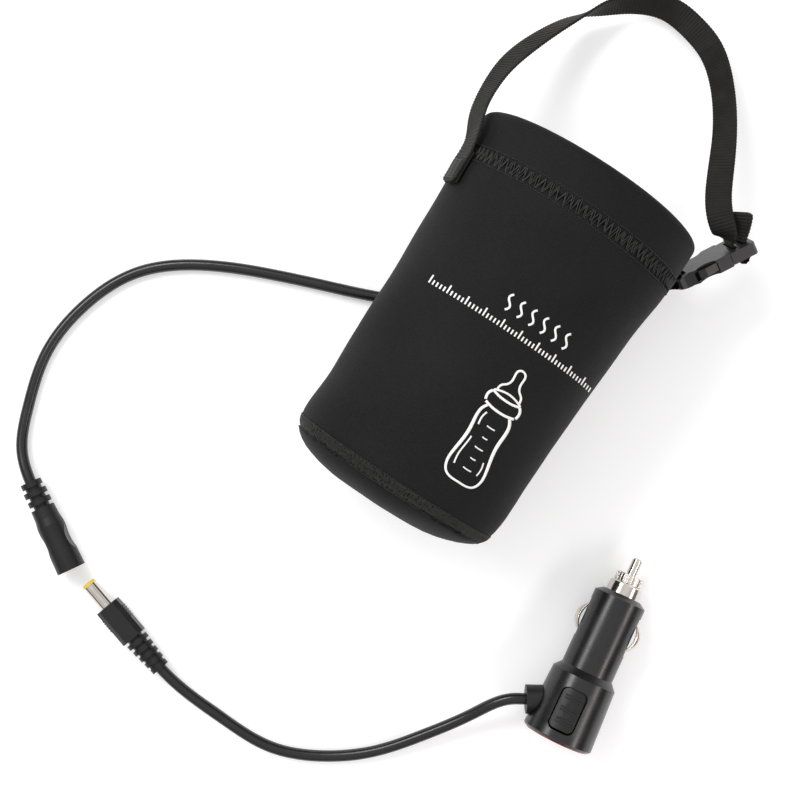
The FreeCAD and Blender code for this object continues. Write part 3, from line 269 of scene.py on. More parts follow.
def neoprene():
    """Matt nylon jersey bonded to foam: a fine knit, a soft bloom and a few stray fibres."""
    n = Nodes("neoprene_black")
    cloud = n.ramp(n.noise(0.03, 4.0), (0.3, 0.0), (0.7, 1.0))
    knit = n.noise(3.2, 2.0, 0.6, (1.0, 0.55, 1.0))
    lint = n.ramp(n.voronoi(0.42), (0.0, 1.0), (0.045, 0.0))
    stray = n.math("MULTIPLY", lint, n.ramp(n.noise(0.35, 1.0), (0.52, 0.0), (0.6, 1.0)))
    base = n.mix(cloud, (0.0070, 0.0070, 0.0074, 1), (0.0105, 0.0105, 0.0109, 1))
    base = n.mix(n.ramp(knit, (0.35, 0.0), (0.7, 0.5)), base, (0.018, 0.018, 0.019, 1))
    base = n.mix(n.math("MULTIPLY", stray, 0.4), base, (0.12, 0.12, 0.125, 1))
    normal = n.bump(knit, 0.09, 0.55)
    normal = n.bump(n.noise(0.12, 3.0), 0.35, 0.35, normal)
    n.set(Base_Color=base, Roughness=n.ramp(knit, (0.2, 0.82), (0.8, 0.66)), Normal=normal)
    n.set(Sheen_Weight=0.03, Sheen_Roughness=0.4, Specular_IOR_Level=0.12)
    return n.mat


def cloth_lining():
    """A plain woven lining cloth."""
    n = Nodes("lining_cloth_black")
    weave = n.noise(4.5, 1.0, 0.5, (1.0, 0.4, 1.0))
    base = n.mix(weave, (0.02, 0.02, 0.022, 1), (0.045, 0.045, 0.048, 1))
    n.set(Base_Color=base, Roughness=0.7, Normal=n.bump(weave, 0.06, 0.6))
    n.set(Sheen_Weight=0.04, Specular_IOR_Level=0.25)
    return n.mat


def webbing():
    """Ribbed polypropylene tape: the ribs are in the mesh, the yarn's own filaments are here."""
    n = Nodes("webbing_black")
    yarn = n.noise(5.0, 3.0, 0.65)
    wear = n.ramp(n.noise(0.16, 4.0), (0.35, 0.0), (0.75, 1.0))
    base = n.mix(yarn, (0.006, 0.0058, 0.0053, 1), (0.016, 0.0152, 0.0138, 1))
    base = n.mix(n.math("MULTIPLY", wear, 0.4), base, (0.028, 0.026, 0.022, 1))
    n.set(Base_Color=base, Roughness=n.ramp(yarn, (0.2, 0.62), (0.8, 0.42)), Normal=n.bump(yarn, 0.08, 0.7))
    n.set(Sheen_Weight=0.01, Specular_IOR_Level=0.13)
    return n.mat


def thread():
    """Twisted polyester sewing thread."""
    n = Nodes("thread_black")
    ply = n.noise(5.0, 2.0, 0.6, (1.0, 1.0, 0.4))
    base = n.mix(ply, (0.007, 0.007, 0.007, 1), (0.026, 0.025, 0.023, 1))
    n.set(Base_Color=base, Roughness=0.42, Normal=n.bump(ply, 0.07, 0.8), Specular_IOR_Level=0.4)
    return n.mat


def plastic(name, level, rough, grain=0.02, grain_per_mm=3.0, coat=0.0, tint=(1.0, 1.0, 1.0), spec=0.5):
    """Moulded plastic: a light spark-eroded grain, faint flow marks, and handling marks in the gloss."""
    n = Nodes(name)
    fine = n.noise(grain_per_mm, 2.0, 0.6)
    smear = n.ramp(n.noise(0.12, 5.0, 0.65), (0.3, 0.0), (0.75, 1.0))
    dark = tuple(level * t * 0.85 for t in tint) + (1.0,)
    light = tuple(level * t * 1.2 for t in tint) + (1.0,)
    scratch = n.ramp(n.noise(1.0, 2.0, 0.5, (0.3, 1.4, 1.0)), (0.62, 0.0), (0.72, 1.0))
    gloss = n.math("ADD", n.math("MULTIPLY", smear, 0.10), rough - 0.04)
    gloss = n.math("ADD", gloss, n.math("MULTIPLY", scratch, 0.02))
    n.set(Base_Color=n.mix(smear, dark, light), Roughness=gloss, Normal=n.bump(fine, grain, 0.6))
    n.set(Coat_Weight=coat, Coat_Roughness=0.12, Specular_IOR_Level=spec)
    return n.mat


def metal(name, color, rough, streak=(1.0, 1.0, 1.0)):
    """Plated metal with fine turning marks and a little tarnish."""
    n = Nodes(name)
    marks = n.noise(5.0, 3.0, 0.7, streak)
    tarnish = n.ramp(n.noise(0.35, 5.0, 0.6), (0.35, 0.0), (0.8, 1.0))
    dull = tuple(c * 0.72 for c in color) + (1.0,)
    n.set(Base_Color=n.mix(n.math("MULTIPLY", tarnish, 0.5), (*color, 1.0), dull), Metallic=1.0)
    n.set(Roughness=n.math("ADD", n.math("MULTIPLY", tarnish, 0.10), rough), Normal=n.bump(marks, 0.02, 0.35))
    return n.mat


def ink():
    """White flex print with a slightly broken surface where it sinks into the knit."""
    n = Nodes("print_white")
    knit = n.noise(3.2, 2.0, 0.6)
    thin = n.ramp(n.noise(0.7, 4.0, 0.7), (0.22, 0.0), (0.34, 1.0))
    base = n.mix(thin, (0.55, 0.55, 0.54, 1), (0.90, 0.90, 0.88, 1))
    n.set(Base_Color=base, Roughness=0.6, Normal=n.bump(knit, 0.06, 0.5))
    return n.mat


def lens():
    """Clear red plastic, lightly frosted."""
    n = Nodes("lens_red")
    frost = n.noise(1.5, 2.0)
    depth = n.ramp(n.noise(0.08, 2.0), (0.3, (0.26, 0.004, 0.005)), (0.7, (0.40, 0.010, 0.010)))
    n.set(Base_Color=depth, Roughness=n.ramp(frost, (0.3, 0.12), (0.7, 0.2)), Normal=n.bump(frost, 0.02, 0.4))
    n.set(Transmission_Weight=0.55, IOR=1.5, Subsurface_Weight=0.2, Coat_Weight=0.4)
    return n.mat


def glass():
    """The fuse's clear glass tube."""
    n = Nodes("fuse_glass_clear")
    n.set(Base_Color=(0.92, 0.95, 0.95, 1), Transmission_Weight=0.95, IOR=1.5)
    n.set(Roughness=n.ramp(n.noise(0.8), (0.3, 0.02), (0.7, 0.08)))
    return n.mat


def foil(name, low, high, rough):
    """A thin creased sheet, between two colours."""
    n = Nodes(name)
    crease = n.noise(0.5, 4.0, 0.6)
    n.set(Base_Color=n.mix(crease, (*low, 1), (*high, 1)), Roughness=rough, Normal=n.bump(crease, 0.1, 0.4))
    return n.mat


NEOPRENE = neoprene()
LINING = cloth_lining()
WEBBING = webbing()
THREAD = thread()
INK = ink()
SATIN = plastic("housing_satin_black", 0.004, 0.28, 0.006, 4.0, spec=0.55)
MOULD = plastic("overmould_black", 0.009, 0.40, 0.02, 3.0, spec=0.35)
ROCKER_PLASTIC = plastic("rocker_black", 0.008, 0.42, 0.015, 4.0, spec=0.35)
ACETAL = plastic("buckle_black", 0.010, 0.31, 0.012, 3.0, spec=0.5)
PVC = plastic("cable_black", 0.010, 0.26, 0.02, 1.2, coat=0.1, spec=0.4)
RUBBER = plastic("rubber_black", 0.009, 0.46, 0.03, 2.5, spec=0.35)
RED_WIRE = plastic("wire_red", 0.45, 0.35, tint=(1.0, 0.08, 0.06))
BLACK_WIRE = plastic("wire_black", 0.02, 0.35)
YELLOW = plastic("tip_yellow", 0.75, 0.35, tint=(1.0, 0.72, 0.10))
WHITE_NYLON = plastic("nylon_natural", 0.75, 0.45, tint=(1.0, 0.98, 0.92))
BOARD = plastic("board_green", 0.16, 0.4, tint=(0.25, 1.0, 0.4))
FOAM = plastic("foam_black", 0.03, 0.85, 0.25, 1.5)
NICKEL = metal("nickel_plate", (0.66, 0.62, 0.57), 0.13)
STEEL = metal("spring_steel", (0.70, 0.64, 0.56), 0.18, (0.3, 2.0, 1.0))
LENS = lens()
GLASS = glass()
FILM = foil("film_amber", (0.45, 0.20, 0.05), (0.62, 0.32, 0.10), 0.3)
TRACK = foil("track_foil", (0.55, 0.52, 0.46), (0.80, 0.77, 0.70), 0.3)


def dress(mat, *nodes, round_by=0.0, segments=2):
    """Gives CAD nodes a finished material, and rounds their edges by round_by millimetres."""
    for name in nodes:
        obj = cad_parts[name]
        for place in obj.material_slots:
            place.link = "OBJECT"
            place.material = mat
        if round_by:
            soften(obj, round_by, segments)


# ---------------------------------------------------------------- the sleeve's surface

# The sleeve's half width, half height and the rise of its middle, at stations along it.
STATIONS = np.array([3.0, 8.0, 10.0, 13.2, 60.0, 100.0, 140.7, 160.0])
HALF_WIDTHS = np.array([34.3, 38.8, 40.6, 41.7, 42.7, 43.6, 45.6, 46.5])
HALF_HEIGHTS = np.array([34.3, 38.8, 40.6, 41.7, 40.6, 39.5, 37.4, 36.4])
RISES = np.array([0.0, 0.0, 0.0, 0.0, -1.1, -2.2, -4.3, -5.3])
SEAM_Y, CUFF_Y, RIM_Y = 8.0, 123.0, 140.7
MEAN_RADIUS = 42.2
SIDE_SEAM = math.radians(224.5)

# How far the soft sides are drawn in from the sleeve's width, and how far the base hangs to one side.
TRIM_STATIONS = np.array([3.0, 8.0, 10.0, 12.0, 16.0, 20.0, 32.0, 50.0, 62.0, 80.0, 98.0, 116.0, 128.0])
TRIMS = np.array([0.2, 0.45, 1.35, 1.4, 0.95, 0.8, 1.3, 1.45, 1.0, 0.7, 0.1, -0.6, -0.2])
SHIFT_STATIONS = np.array([8.0, 14.0, 20.0, 28.0])
SHIFTS = np.array([-1.15, -1.0, -0.5, 0.0])

# How deep the two seams draw the outer face in, and how far from the seam that reaches.
SEAM_DEPTH, SEAM_REACH = 0.75, 1.7


def eased(values, y, reach=1.5, stations=STATIONS):
    """A sleeve measure at a distance along it, with its corners eased."""
    shifts = np.linspace(-1.0, 1.0, 7) * reach
    return sum(np.interp(y + d, stations, values) for d in shifts) / len(shifts)


def side_trim(y):
    return eased(TRIMS, y, 2.0, TRIM_STATIONS)


def side_shift(y):
    return eased(SHIFTS, y, 2.5, SHIFT_STATIONS)


def ripple(y, angle):
    """The slow unevenness of a soft sleeve, in millimetres, which dies away where it rests on the table."""
    free = np.clip((np.sin(angle) + 0.95) / 0.6, 0, 1)
    wave = 0.30 * np.sin(2 * angle + 0.035 * y + 0.6) + 0.22 * np.sin(3 * angle - 0.06 * y + 2.1)
    wave += 0.16 * np.sin(5 * angle + 0.11 * y) + 0.14 * np.sin(0.16 * y + 4 * angle)
    return wave * free - 0.08


def sleeve_point(y, angle, depth=0.0):
    """A point on the sleeve, or below its outer face by depth. Angle 0 is +X and a quarter turn is up."""
    y, angle, depth = np.broadcast_arrays(*(np.asarray(value, float) for value in (y, angle, depth)))
    wide, tall, rise = (eased(v, y) for v in (HALF_WIDTHS, HALF_HEIGHTS, RISES))
    up = np.sin(angle)
    wide = wide - side_trim(y) * np.clip((up + 0.7) / 0.5, 0, 1)
    lean = 1.25 * np.clip((y - 112.0) / 28.0, 0, 1.2) * np.clip(up, 0, 1) ** 2
    reach = ripple(y, angle) - depth
    across = side_shift(y) + (wide + reach) * np.cos(angle)
    return np.stack([across, y + lean, rise + (tall + reach) * up], axis=-1)


def sleeve_normal(y, angle):
    """The direction straight out of the sleeve at a point of its surface."""
    along = sleeve_point(y + 0.5, angle) - sleeve_point(y - 0.5, angle)
    around = sleeve_point(y, angle + 0.01) - sleeve_point(y, angle - 0.01)
    return unit(np.cross(along, around))


def pinch(y):
    """How far the outer face is drawn in near the two seams."""
    at_cuff = np.exp(-((y - CUFF_Y) / SEAM_REACH) ** 2)
    at_base = np.exp(-((y - SEAM_Y) / SEAM_REACH) ** 2)
    return SEAM_DEPTH * (at_cuff + at_base)


def cloth_tube(name, section, mat, node):
    """A closed tube of cloth from a cross-section of (y, depth) pairs."""
    angles = np.linspace(0, 2 * math.pi, 360, endpoint=False)
    pile = Pile()
    pile.loops([sleeve_point(y, angles, depth) for y, depth in section], closed=True)
    pile.finish(name, mat, "sleeve", [node])


def wall_section(start, end, outer, inner, step=1.0):
    """A cloth wall's section: out along the outer face, round a soft edge, and back along the inner one."""
    run = np.arange(start, end + step / 2, step)
    run[-1] = end
    middle = (outer + inner) / 2
    face = [(y, outer + pinch(y)) for y in run]
    back = [(y, inner) for y in run[::-4]]
    return face + [(end, middle)] + back + [(start, middle)]


def cuff_section():
    """The cuff: a folded strip whose outer face starts at the seam and rolls over a full, rounded rim."""
    fold = 3.0
    face = [(y, pinch(y)) for y in np.arange(CUFF_Y + 0.1, RIM_Y - fold, 0.8)]
    roll = []
    for k in range(13):
        swing = math.pi * k / 12
        roll.append((RIM_Y - fold + fold * math.sin(swing), fold - fold * math.cos(swing)))
    back = [(y, 2 * fold) for y in np.arange(RIM_Y - 4.0, CUFF_Y, -2.0)]
    return face + roll + back + [(CUFF_Y + 0.1, fold)]


cloth_tube("sleeve_cloth", wall_section(SEAM_Y + 0.15, CUFF_Y - 0.1, 0.0, 3.45), NEOPRENE, "outer_sleeve")
cloth_tube("cuff_cloth", cuff_section(), NEOPRENE, "mouth_cuff")
cloth_tube("lining_cloth_wall", wall_section(11.5, CUFF_Y - 0.2, 5.15, 6.05, 3.0), LINING, "inner_lining")

# The base is a domed disc of the same neoprene, drawn in at its seam. Its faces are (y, radius) pairs.
BASE_OUTSIDE = [(0.0, 0.01), (0.0, 5.0), (0.02, 9.0), (0.32, 13.5), (0.95, 18.2), (1.8, 22.5), (2.8, 26.3)]
BASE_OUTSIDE += [(3.9, 29.6), (5.1, 32.6), (6.3, 35.3), (7.2, 37.3), (7.7, 38.3), (7.9, 38.5)]
BASE_INSIDE = [(7.9, 36.0), (7.6, 31.5), (6.2, 25.5), (4.4, 18.0), (3.4, 9.0), (3.4, 0.01)]
BASE_X = float(side_shift(SEAM_Y))

# How much fuller the base is than those faces, by radius.
FULL_AT = [0.0, 5.0, 17.0, 25.0, 34.0, 37.0, 38.5]
FULLNESS = [-0.4, -0.35, 0.2, 0.8, 1.05, 0.6, 0.0]


def dome_ring(y, radius):
    """A ring of the base, which sags fuller towards the side it hangs to."""
    turns = np.linspace(0, 2 * math.pi, 240, endpoint=False)
    one_sided = 0.5 * min(radius / 17.0, 1.0)
    full = np.interp(radius, FULL_AT, FULLNESS) * (1.25 - one_sided * np.cos(turns))
    wrinkle = 0.12 * np.sin(7 * turns + 0.4) * np.interp(radius, [10.0, 30.0, 38.5], [0.0, 1.0, 0.0])
    return np.stack([BASE_X + radius * np.cos(turns), y - full + wrinkle, radius * np.sin(turns)], axis=1)


dome = Pile()
dome.loops([dome_ring(y, radius) for y, radius in BASE_OUTSIDE + BASE_INSIDE])
dome.finish("base_cloth", NEOPRENE, "sleeve", ["base_disc"])


# ---------------------------------------------------------------- stitching


def on_wall(ys, angles, lifts):
    """Points over the sleeve's wall, including where a seam draws it in."""
    ys = np.asarray(ys, float)
    return sleeve_point(ys, angles, pinch(ys) * 0.6 - lifts)


def on_base(ys, angles, lifts):
    """The overlock straddles the seam: above it the thread lies on the wall, below it on the dome."""
    high = on_wall(np.maximum(ys, SEAM_Y), angles, lifts)
    edge = np.array(BASE_OUTSIDE[-8:])
    radius = np.interp(ys, edge[:, 0], edge[:, 1]) + lifts
    low = np.stack([BASE_X + radius * np.cos(angles), ys, radius * np.sin(angles)], axis=-1)
    return np.where((ys < SEAM_Y)[:, None], low, high)


def zigzag(pile, centre, half, pitch, lift, phase, radius, jitter, wobble, at):
    """One thread that runs round the sleeve in a zigzag, a little uneven as a sewn stitch is.

    It swings by half to either side of centre, with its corners moved by up to jitter along the sleeve
    and wobble around it, and at puts its points on the cloth.
    """
    count = int(round(2 * math.pi * MEAN_RADIUS / pitch))
    corners = []
    for i in range(count * 2):
        side = 1 if i % 2 else -1
        angle = 2 * math.pi * (i / 2 + phase) / count
        corners.append((centre + side * (half + rng.uniform(-jitter, jitter)),
                        angle + rng.uniform(-wobble, wobble) / MEAN_RADIUS))
    corners.append(corners[0])
    ys, angles, lifts = [], [], []
    for (y0, a0), (y1, a1) in zip(corners, corners[1:]):
        if a1 < a0 - math.pi:
            a1 += 2 * math.pi
        for k in range(5):
            t = k / 5
            ys.append(y0 + t * (y1 - y0))
            angles.append(a0 + t * (a1 - a0))
            lifts.append(lift + 0.16 * math.sin(math.pi * t) - 0.1 * (k == 0))
    path = at(np.array(ys), np.array(angles), np.array(lifts))
    pile.loops(tube_rings(path, radius), closed=True)


cuff_thread = Pile()
for phase, half, lift in ((0.0, 2.7, 0.10), (0.2, 2.3, 0.20)):
    zigzag(cuff_thread, CUFF_Y, half, 2.6, lift, phase, 0.19, 0.45, 0.4, on_wall)
for edge in (-3.0, 3.0):
    zigzag(cuff_thread, CUFF_Y + edge, 0.2, 1.3, 0.02, 0.1, 0.13, 0.1, 0.12, on_wall)
cuff_thread.finish("cuff_coverstitch", THREAD, "sleeve", ["cuff_stitching"])


base_thread = Pile()
for phase, lift in ((0.0, 0.05), (0.33, 0.16), (0.66, 0.10)):
    zigzag(base_thread, SEAM_Y + 2.3, 1.9, 2.1, lift, phase, 0.19, 0.35, 0.35, on_base)
for edge in (0.2, 4.2):
    zigzag(base_thread, SEAM_Y + edge, 0.28, 1.25, 0.1, 0.2, 0.18, 0.12, 0.12, on_base)
base_thread.finish("base_overlock", THREAD, "sleeve", ["base_stitching"])


def side_seam():
    """The flat seam that closes the sleeve along its underside, on either side of the cable."""
    pile = Pile()
    pitch, half = 1.4, 2.1
    for start, end in ((13.5, 60.0), (77.0, 117.5)):
        for first in (0, 1):
            ys, angles, lifts = [], [], []
            for i in range(int((end - start) / pitch)):
                side = 1 if (i + first) % 2 else -1
                for k in range(4):
                    t = k / 4
                    ys.append(start + (i + t) * pitch)
                    angles.append(SIDE_SEAM + side * (1 - 2 * t) * half / MEAN_RADIUS)
                    lifts.append(0.1 + 0.12 * math.sin(math.pi * t))
            pile.loops(tube_rings(on_wall(ys, angles, np.array(lifts)), 0.19))
    pile.finish("side_flatlock", THREAD, "sleeve", ["seam_stitching"])


side_seam()


# ---------------------------------------------------------------- the print


# A stroke of ink across its width: (share of the width from its middle, height over the cloth).
STROKE = [(0.5, 0.0), (0.5, 0.10), (0.18, 0.125), (-0.18, 0.125), (-0.5, 0.10), (-0.5, 0.0)]


def draw_on_sleeve(pile, line, width):
    """A stroke of ink along a line of (x, y) points seen from above, laid on the sleeve."""
    line = np.asarray(line, float)
    width = np.broadcast_to(width, (len(line),))
    along = unit(np.gradient(line, axis=0))
    side = np.stack([-along[:, 1], along[:, 0]], axis=1)
    strips = []
    for shift, height in STROKE:
        flat = line + side * (shift * width)[:, None]
        wide = eased(HALF_WIDTHS, flat[:, 1]) - side_trim(flat[:, 1])
        angle = np.arccos(np.clip((flat[:, 0] - side_shift(flat[:, 1])) / wide, -0.999, 0.999))
        strips.append(sleeve_point(flat[:, 1], angle, -height))
    pile.loops(np.stack(strips, axis=1))


# The printed bottle's strokes, from the middle of its foot: the ink's width, then (x, y) points.
BOTTLE_STROKES = [
    (0.9, [(-5.9, 28.0), (-3.0, 27.3), (0, 27.1), (3.0, 27.3), (5.9, 28.0)]),
    (0.95, [(-6.3, 28.4), (-6.6, 29.6), (-6.4, 31.2), (-5.6, 32.3)]),
    (0.95, [(6.3, 28.4), (6.6, 29.6), (6.4, 31.2), (5.6, 32.3)]),
    (0.85, [(-5.7, 32.5), (-3.0, 31.8), (0, 31.6), (3.0, 31.8), (5.7, 32.5)]),
    (0.7, [(-5.5, 32.8), (-2.6, 33.7), (0, 34.0), (2.6, 33.7), (5.5, 32.8)]),
]
TEAT = [(-4.6, 33.4), (-4.2, 35.2), (-2.6, 36.6), (-1.7, 38.4), (-1.75, 40.6), (-1.5, 42.3), (0, 43.1)]
SHINE_STROKES = [
    (0.55, [(-4.4, 4.6), (-4.7, 8.0), (-4.1, 12.6), (-3.8, 15.4)]),
    (0.6, [(-3.9, 20.0), (-4.1, 23.0), (-3.5, 25.0)]),
    (0.45, [(4.5, 5.0), (4.8, 7.6), (4.4, 10.0)]),
]
BODY_SIDE = [(0.0, 0.0), (3.0, 0.05), (5.3, 0.9), (6.7, 3.2), (6.8, 7.5), (6.0, 12.5), (5.7, 17.5)]
BODY_SIDE += [(6.1, 22.5), (5.7, 25.4), (4.6, 27.2)]


def mirrored(points):
    """The same points on the other side of the bottle's middle, in the opposite order."""
    return [(-x, y) for x, y in points[::-1]]


def bottle_stroke(pile, points, width):
    """A stroke of the printed bottle, which stands a little askew on the sleeve."""
    foot_x, foot_y, askew = 15.4, 23.3, 0.046
    line = spline([(foot_x + 1.8 - askew * y + x, foot_y + y) for x, y in points], 0.35)
    if width is None:
        width = 0.95 * (1.0 + 0.25 * np.sin(np.linspace(0, 9, len(line))))
    draw_on_sleeve(pile, line, width)


def printed_bottle(pile):
    """A baby bottle in outline: its body in a brush-like line, its ring, teat, two shines and level marks."""
    bottle_stroke(pile, mirrored(BODY_SIDE[1:]) + BODY_SIDE, None)
    for width, points in BOTTLE_STROKES:
        bottle_stroke(pile, points, width)
    bottle_stroke(pile, TEAT + mirrored(TEAT[:-1]), 0.75)
    for width, points in SHINE_STROKES:
        bottle_stroke(pile, points, width)
    for row in range(5):
        reach = 2.0 if row % 2 else 3.2
        y = 5.2 + 4.0 * row
        bottle_stroke(pile, [(0.6 - reach / 2, y), (0.6, y - 0.12), (0.6 + reach / 2, y)], 0.45)


def scale_and_waves(pile):
    """A plain row of scale marks across the sleeve, and six heat waves over it."""
    foot = 74.6
    for i in range(49):
        x = -28.0 + 1.42 * i
        tall = 3.1 if i % 5 == 0 else 1.7
        draw_on_sleeve(pile, spline([(x, foot), (x, foot + tall / 2), (x, foot + tall)], 0.5), 0.55)
    for i in range(6):
        middle = -1.6 + 4.75 * i
        wave = [(middle + 0.95 * math.sin(k * math.pi / 4), 80.4 + 0.74 * k) for k in range(9)]
        draw_on_sleeve(pile, spline(wave, 0.35), 0.75)


mark = Pile()
printed_bottle(mark)
scale_and_waves(mark)
mark.finish("print_on_sleeve", INK, "sleeve", ["printed_mark"])


# ---------------------------------------------------------------- webbing

WEBBING_WIDTH = 10.0
RIB_SPACING, RIB_HEIGHT = 1.22, 0.19

# Half of the tape's rounded section, as shares of its half width and half thickness.
TAPE_HALF = [(-1.0, 0.0), (-0.985, 0.55), (-0.93, 0.92), (-0.8, 1.0), (-0.4, 1.0), (0.0, 1.0)]
TAPE_HALF += [(0.4, 1.0), (0.8, 1.0), (0.93, 0.92), (0.985, 0.55), (1.0, 0.0)]


def webbing_rings(points, faces_out, thick=1.2, seed=1, hem=None):
    """Rings of a ribbed tape through the points, its face turned outwards as given at each.

    A hem is a melted, thickened end with rounded corners: "start" or "end".
    """
    both = spline(np.concatenate([points, np.asarray(faces_out, float)], axis=1), 0.21)
    path, out = both[:, :3], both[:, 3:]
    along = unit(np.gradient(path, axis=0))
    out = unit(out - along * np.sum(out * along, axis=1, keepdims=True))
    side = np.cross(along, out)
    gone = np.concatenate([[0], np.cumsum(np.linalg.norm(np.diff(path, axis=0), axis=1))])
    noise = np.random.default_rng(seed)
    beats = np.arange(0, gone[-1] + 9, 8.0)
    drift = np.interp(gone, beats, noise.normal(0, 0.12, len(beats)))
    rib = 0.5 + 0.5 * np.cos(2 * math.pi * gone / RIB_SPACING)
    half_w = WEBBING_WIDTH / 2 - 0.16 + 0.16 * rib + 0.05 * drift
    half_t = thick / 2 - RIB_HEIGHT + RIB_HEIGHT * rib**0.8
    if hem:
        corner = 1.8
        left_over = gone if hem == "start" else gone[-1] - gone
        short = np.clip(corner - left_over, 0, corner)
        half_w = half_w - 1.1 * (corner - np.sqrt(corner**2 - short**2))
        half_t = half_t * (1 + 0.35 * np.exp(-((left_over - 1.2) / 1.6) ** 2))
    rings = []
    for x, y in TAPE_HALF + [(x, -y) for x, y in TAPE_HALF[-2:0:-1]]:
        rings.append(path + side * (x * half_w)[:, None] + out * (y * half_t)[:, None])
    return np.stack(rings, axis=1)


def lean_out(points):
    """Face directions from the (x, y, z, lean) form the strap's path is given in."""
    points = np.asarray(points, float)
    along = unit(np.gradient(points[:, :3], axis=0))
    flat = unit(np.cross([0, 0, 1], along))
    up = unit(np.cross(along, flat))
    lean = np.radians(points[:, 3])[:, None]
    return flat * np.cos(lean) + up * np.sin(lean)


# The strap's loop from the sleeve to the buckle: x, y, z, and how far its face leans up, in degrees.
STRAP = [
    (-44.0, 127.3, 12.4, 27.0),
    (-47.6, 137.6, 5.0, 30.0),
    (-49.4, 152.6, -4.0, 39.0),
    (-48.2, 166.0, -13.5, 45.0),
    (-42.9, 183.3, -24.0, 37.0),
    (-37.2, 195.0, -29.5, 17.0),
    (-31.5, 202.8, -32.0, -16.0),
    (-22.4, 211.7, -34.0, -38.0),
    (-10.7, 217.1, -34.6, -58.0),
    (0.7, 216.2, -34.0, -74.0),
    (11.0, 212.4, -32.2, -62.0),
    (20.3, 204.5, -29.3, -52.0),
    (28.0, 194.3, -26.0, -52.0),
    (33.8, 183.9, -22.6, -58.0),
    (39.9, 170.1, -18.2, -72.0),
    (45.4, 160.0, -15.4, -74.0),
    (48.6, 156.4, -14.6, -70.0),
    (52.2, 153.6, -15.2, -48.0),
    (54.67, 152.12, -16.79, -10.0),
]
TAB_ANGLE = math.radians(157.0)
TAB_YS = np.array([109.4, 112.5, 117.0, 122.0])
TAB_FACES = sleeve_normal(TAB_YS, np.full(4, TAB_ANGLE))
LOOP_ANGLE = math.radians(-22.0)
LOOP_YS = np.array([106.6, 111.5, 117.0, 122.4])


def tape(name, strips, body, node):
    """A piece of webbing made of one or more strips of rings."""
    pile = Pile()
    for rings in strips:
        pile.loops(rings)
    return pile.finish(name, WEBBING, body, [node])


def carry_strap():
    """The strap, sewn on at its left end. It is cut in two half way."""
    points = np.array(STRAP)[:, :3]
    sewn = sleeve_point(TAB_YS, TAB_ANGLE, -1.9)
    faces = np.concatenate([TAB_FACES, lean_out(STRAP)])
    rings = webbing_rings(np.concatenate([sewn, points]), faces, hem="start")
    half_way = int(np.argmin(np.linalg.norm(rings.mean(axis=1) - points[10], axis=1)))
    left = tape("strap_left", [rings[: half_way + 1]], None, "strap_webbing")
    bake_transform(left)
    right = tape("strap_right", [rings[half_way:]], None, "strap_webbing")
    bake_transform(right)


carry_strap()


def across_tab(ys, sides):
    """Points on top of the sewn tab, from distances along the sleeve and to either side of its middle."""
    return sleeve_point(ys, TAB_ANGLE + np.asarray(sides) / 42.0, -2.62)


def tab_stitches():
    """Two crossing zigzags and a straight row along each edge hold the strap's end down."""
    pile = Pile()
    for turn_back in (1.0, -1.0):
        ys = [110.6 + 0.62 * k for k in range(13)]
        sides = [turn_back * 3.6 * (1 if k % 2 else -1) for k in range(13)]
        fine = np.linspace(0, 12, 61)
        path = across_tab(np.interp(fine, range(13), ys), np.interp(fine, range(13), sides))
        pile.loops(tube_rings(path, 0.17))
    for side in (-4.2, 4.2):
        fine = np.linspace(110.2, 119.5, 48)
        path = across_tab(fine, np.full(48, side) + 0.25 * np.sin(fine * 4.1))
        pile.loops(tube_rings(path, 0.17))
    pile.finish("tab_box_stitch", THREAD, "sleeve", ["strap_sewn_tab"])


tab_stitches()
under_tab = webbing_rings(sleeve_point(TAB_YS + 0.2, TAB_ANGLE, -0.95), TAB_FACES, thick=1.1, seed=3)
tape("sewn_tab_left", [under_tab], "sleeve", "strap_sewn_tab")


def loop_tab():
    """The sewn end of the loop that holds the buckle: two layers on the sleeve's right side."""
    faces = sleeve_normal(LOOP_YS, np.full(4, LOOP_ANGLE))
    low = webbing_rings(sleeve_point(LOOP_YS, LOOP_ANGLE, -0.95), faces, thick=1.0, seed=4)
    high = webbing_rings(sleeve_point(LOOP_YS + 0.3, LOOP_ANGLE, -1.9), faces, thick=1.0, seed=5)
    tape("sewn_tab_right", [low, high], "sleeve", "loop_sewn_tab")


loop_tab()


def buckle_tape(name, line, body, node, twists=None, **sizes):
    """Webbing along a line of (x, z) points in the buckle's own frame, its face twisted in degrees."""
    points = BUCKLE.out([(x, 0.0, z) for x, z in line])
    flow = unit(np.gradient(np.array(line), axis=0))
    faces = []
    for (dx, dz), twist in zip(flow, np.radians(twists or np.zeros(len(line)))):
        faces.append(BUCKLE.way((-dz * math.cos(twist), math.sin(twist), dx * math.cos(twist))))
    tape(name, [webbing_rings(points, np.array(faces), **sizes)], body, node)


# The loop goes round the buckle's bar and back. The tail hangs out over the male half's bar.
LOOP_LINE = [(-3.2, 0.1), (-1.3, 1.35), (0.4, 2.3), (2.4, 2.75), (3.3, 1.5), (3.35, 0.0)]
LOOP_LINE += [(3.3, -1.5), (2.4, -2.75), (0.4, -2.3), (-1.3, -1.35), (-3.2, -0.5)]
TAIL_LINE = [(24.75, 5.2), (24.75, 2.5), (24.8, -1.8), (25.2, -3.9), (26.8, -4.9), (28.4, -3.9)]
TAIL_LINE += [(28.85, -1.8), (28.95, 2.6), (29.9, 5.2), (31.3, 8.2), (32.6, 10.9), (33.2, 12.2)]
TAIL_TWISTS = [0, 0, 0, 0, 0, 0, 0, -8, -22, -38, -50, -56]
buckle_tape("loop_right", LOOP_LINE, "handle", "buckle_loop", thick=0.7, seed=6)
buckle_tape("strap_tail_end", TAIL_LINE, "buckle_plug", "strap_tail", TAIL_TWISTS,
            thick=1.0, seed=7, hem="end")


# ---------------------------------------------------------------- cables

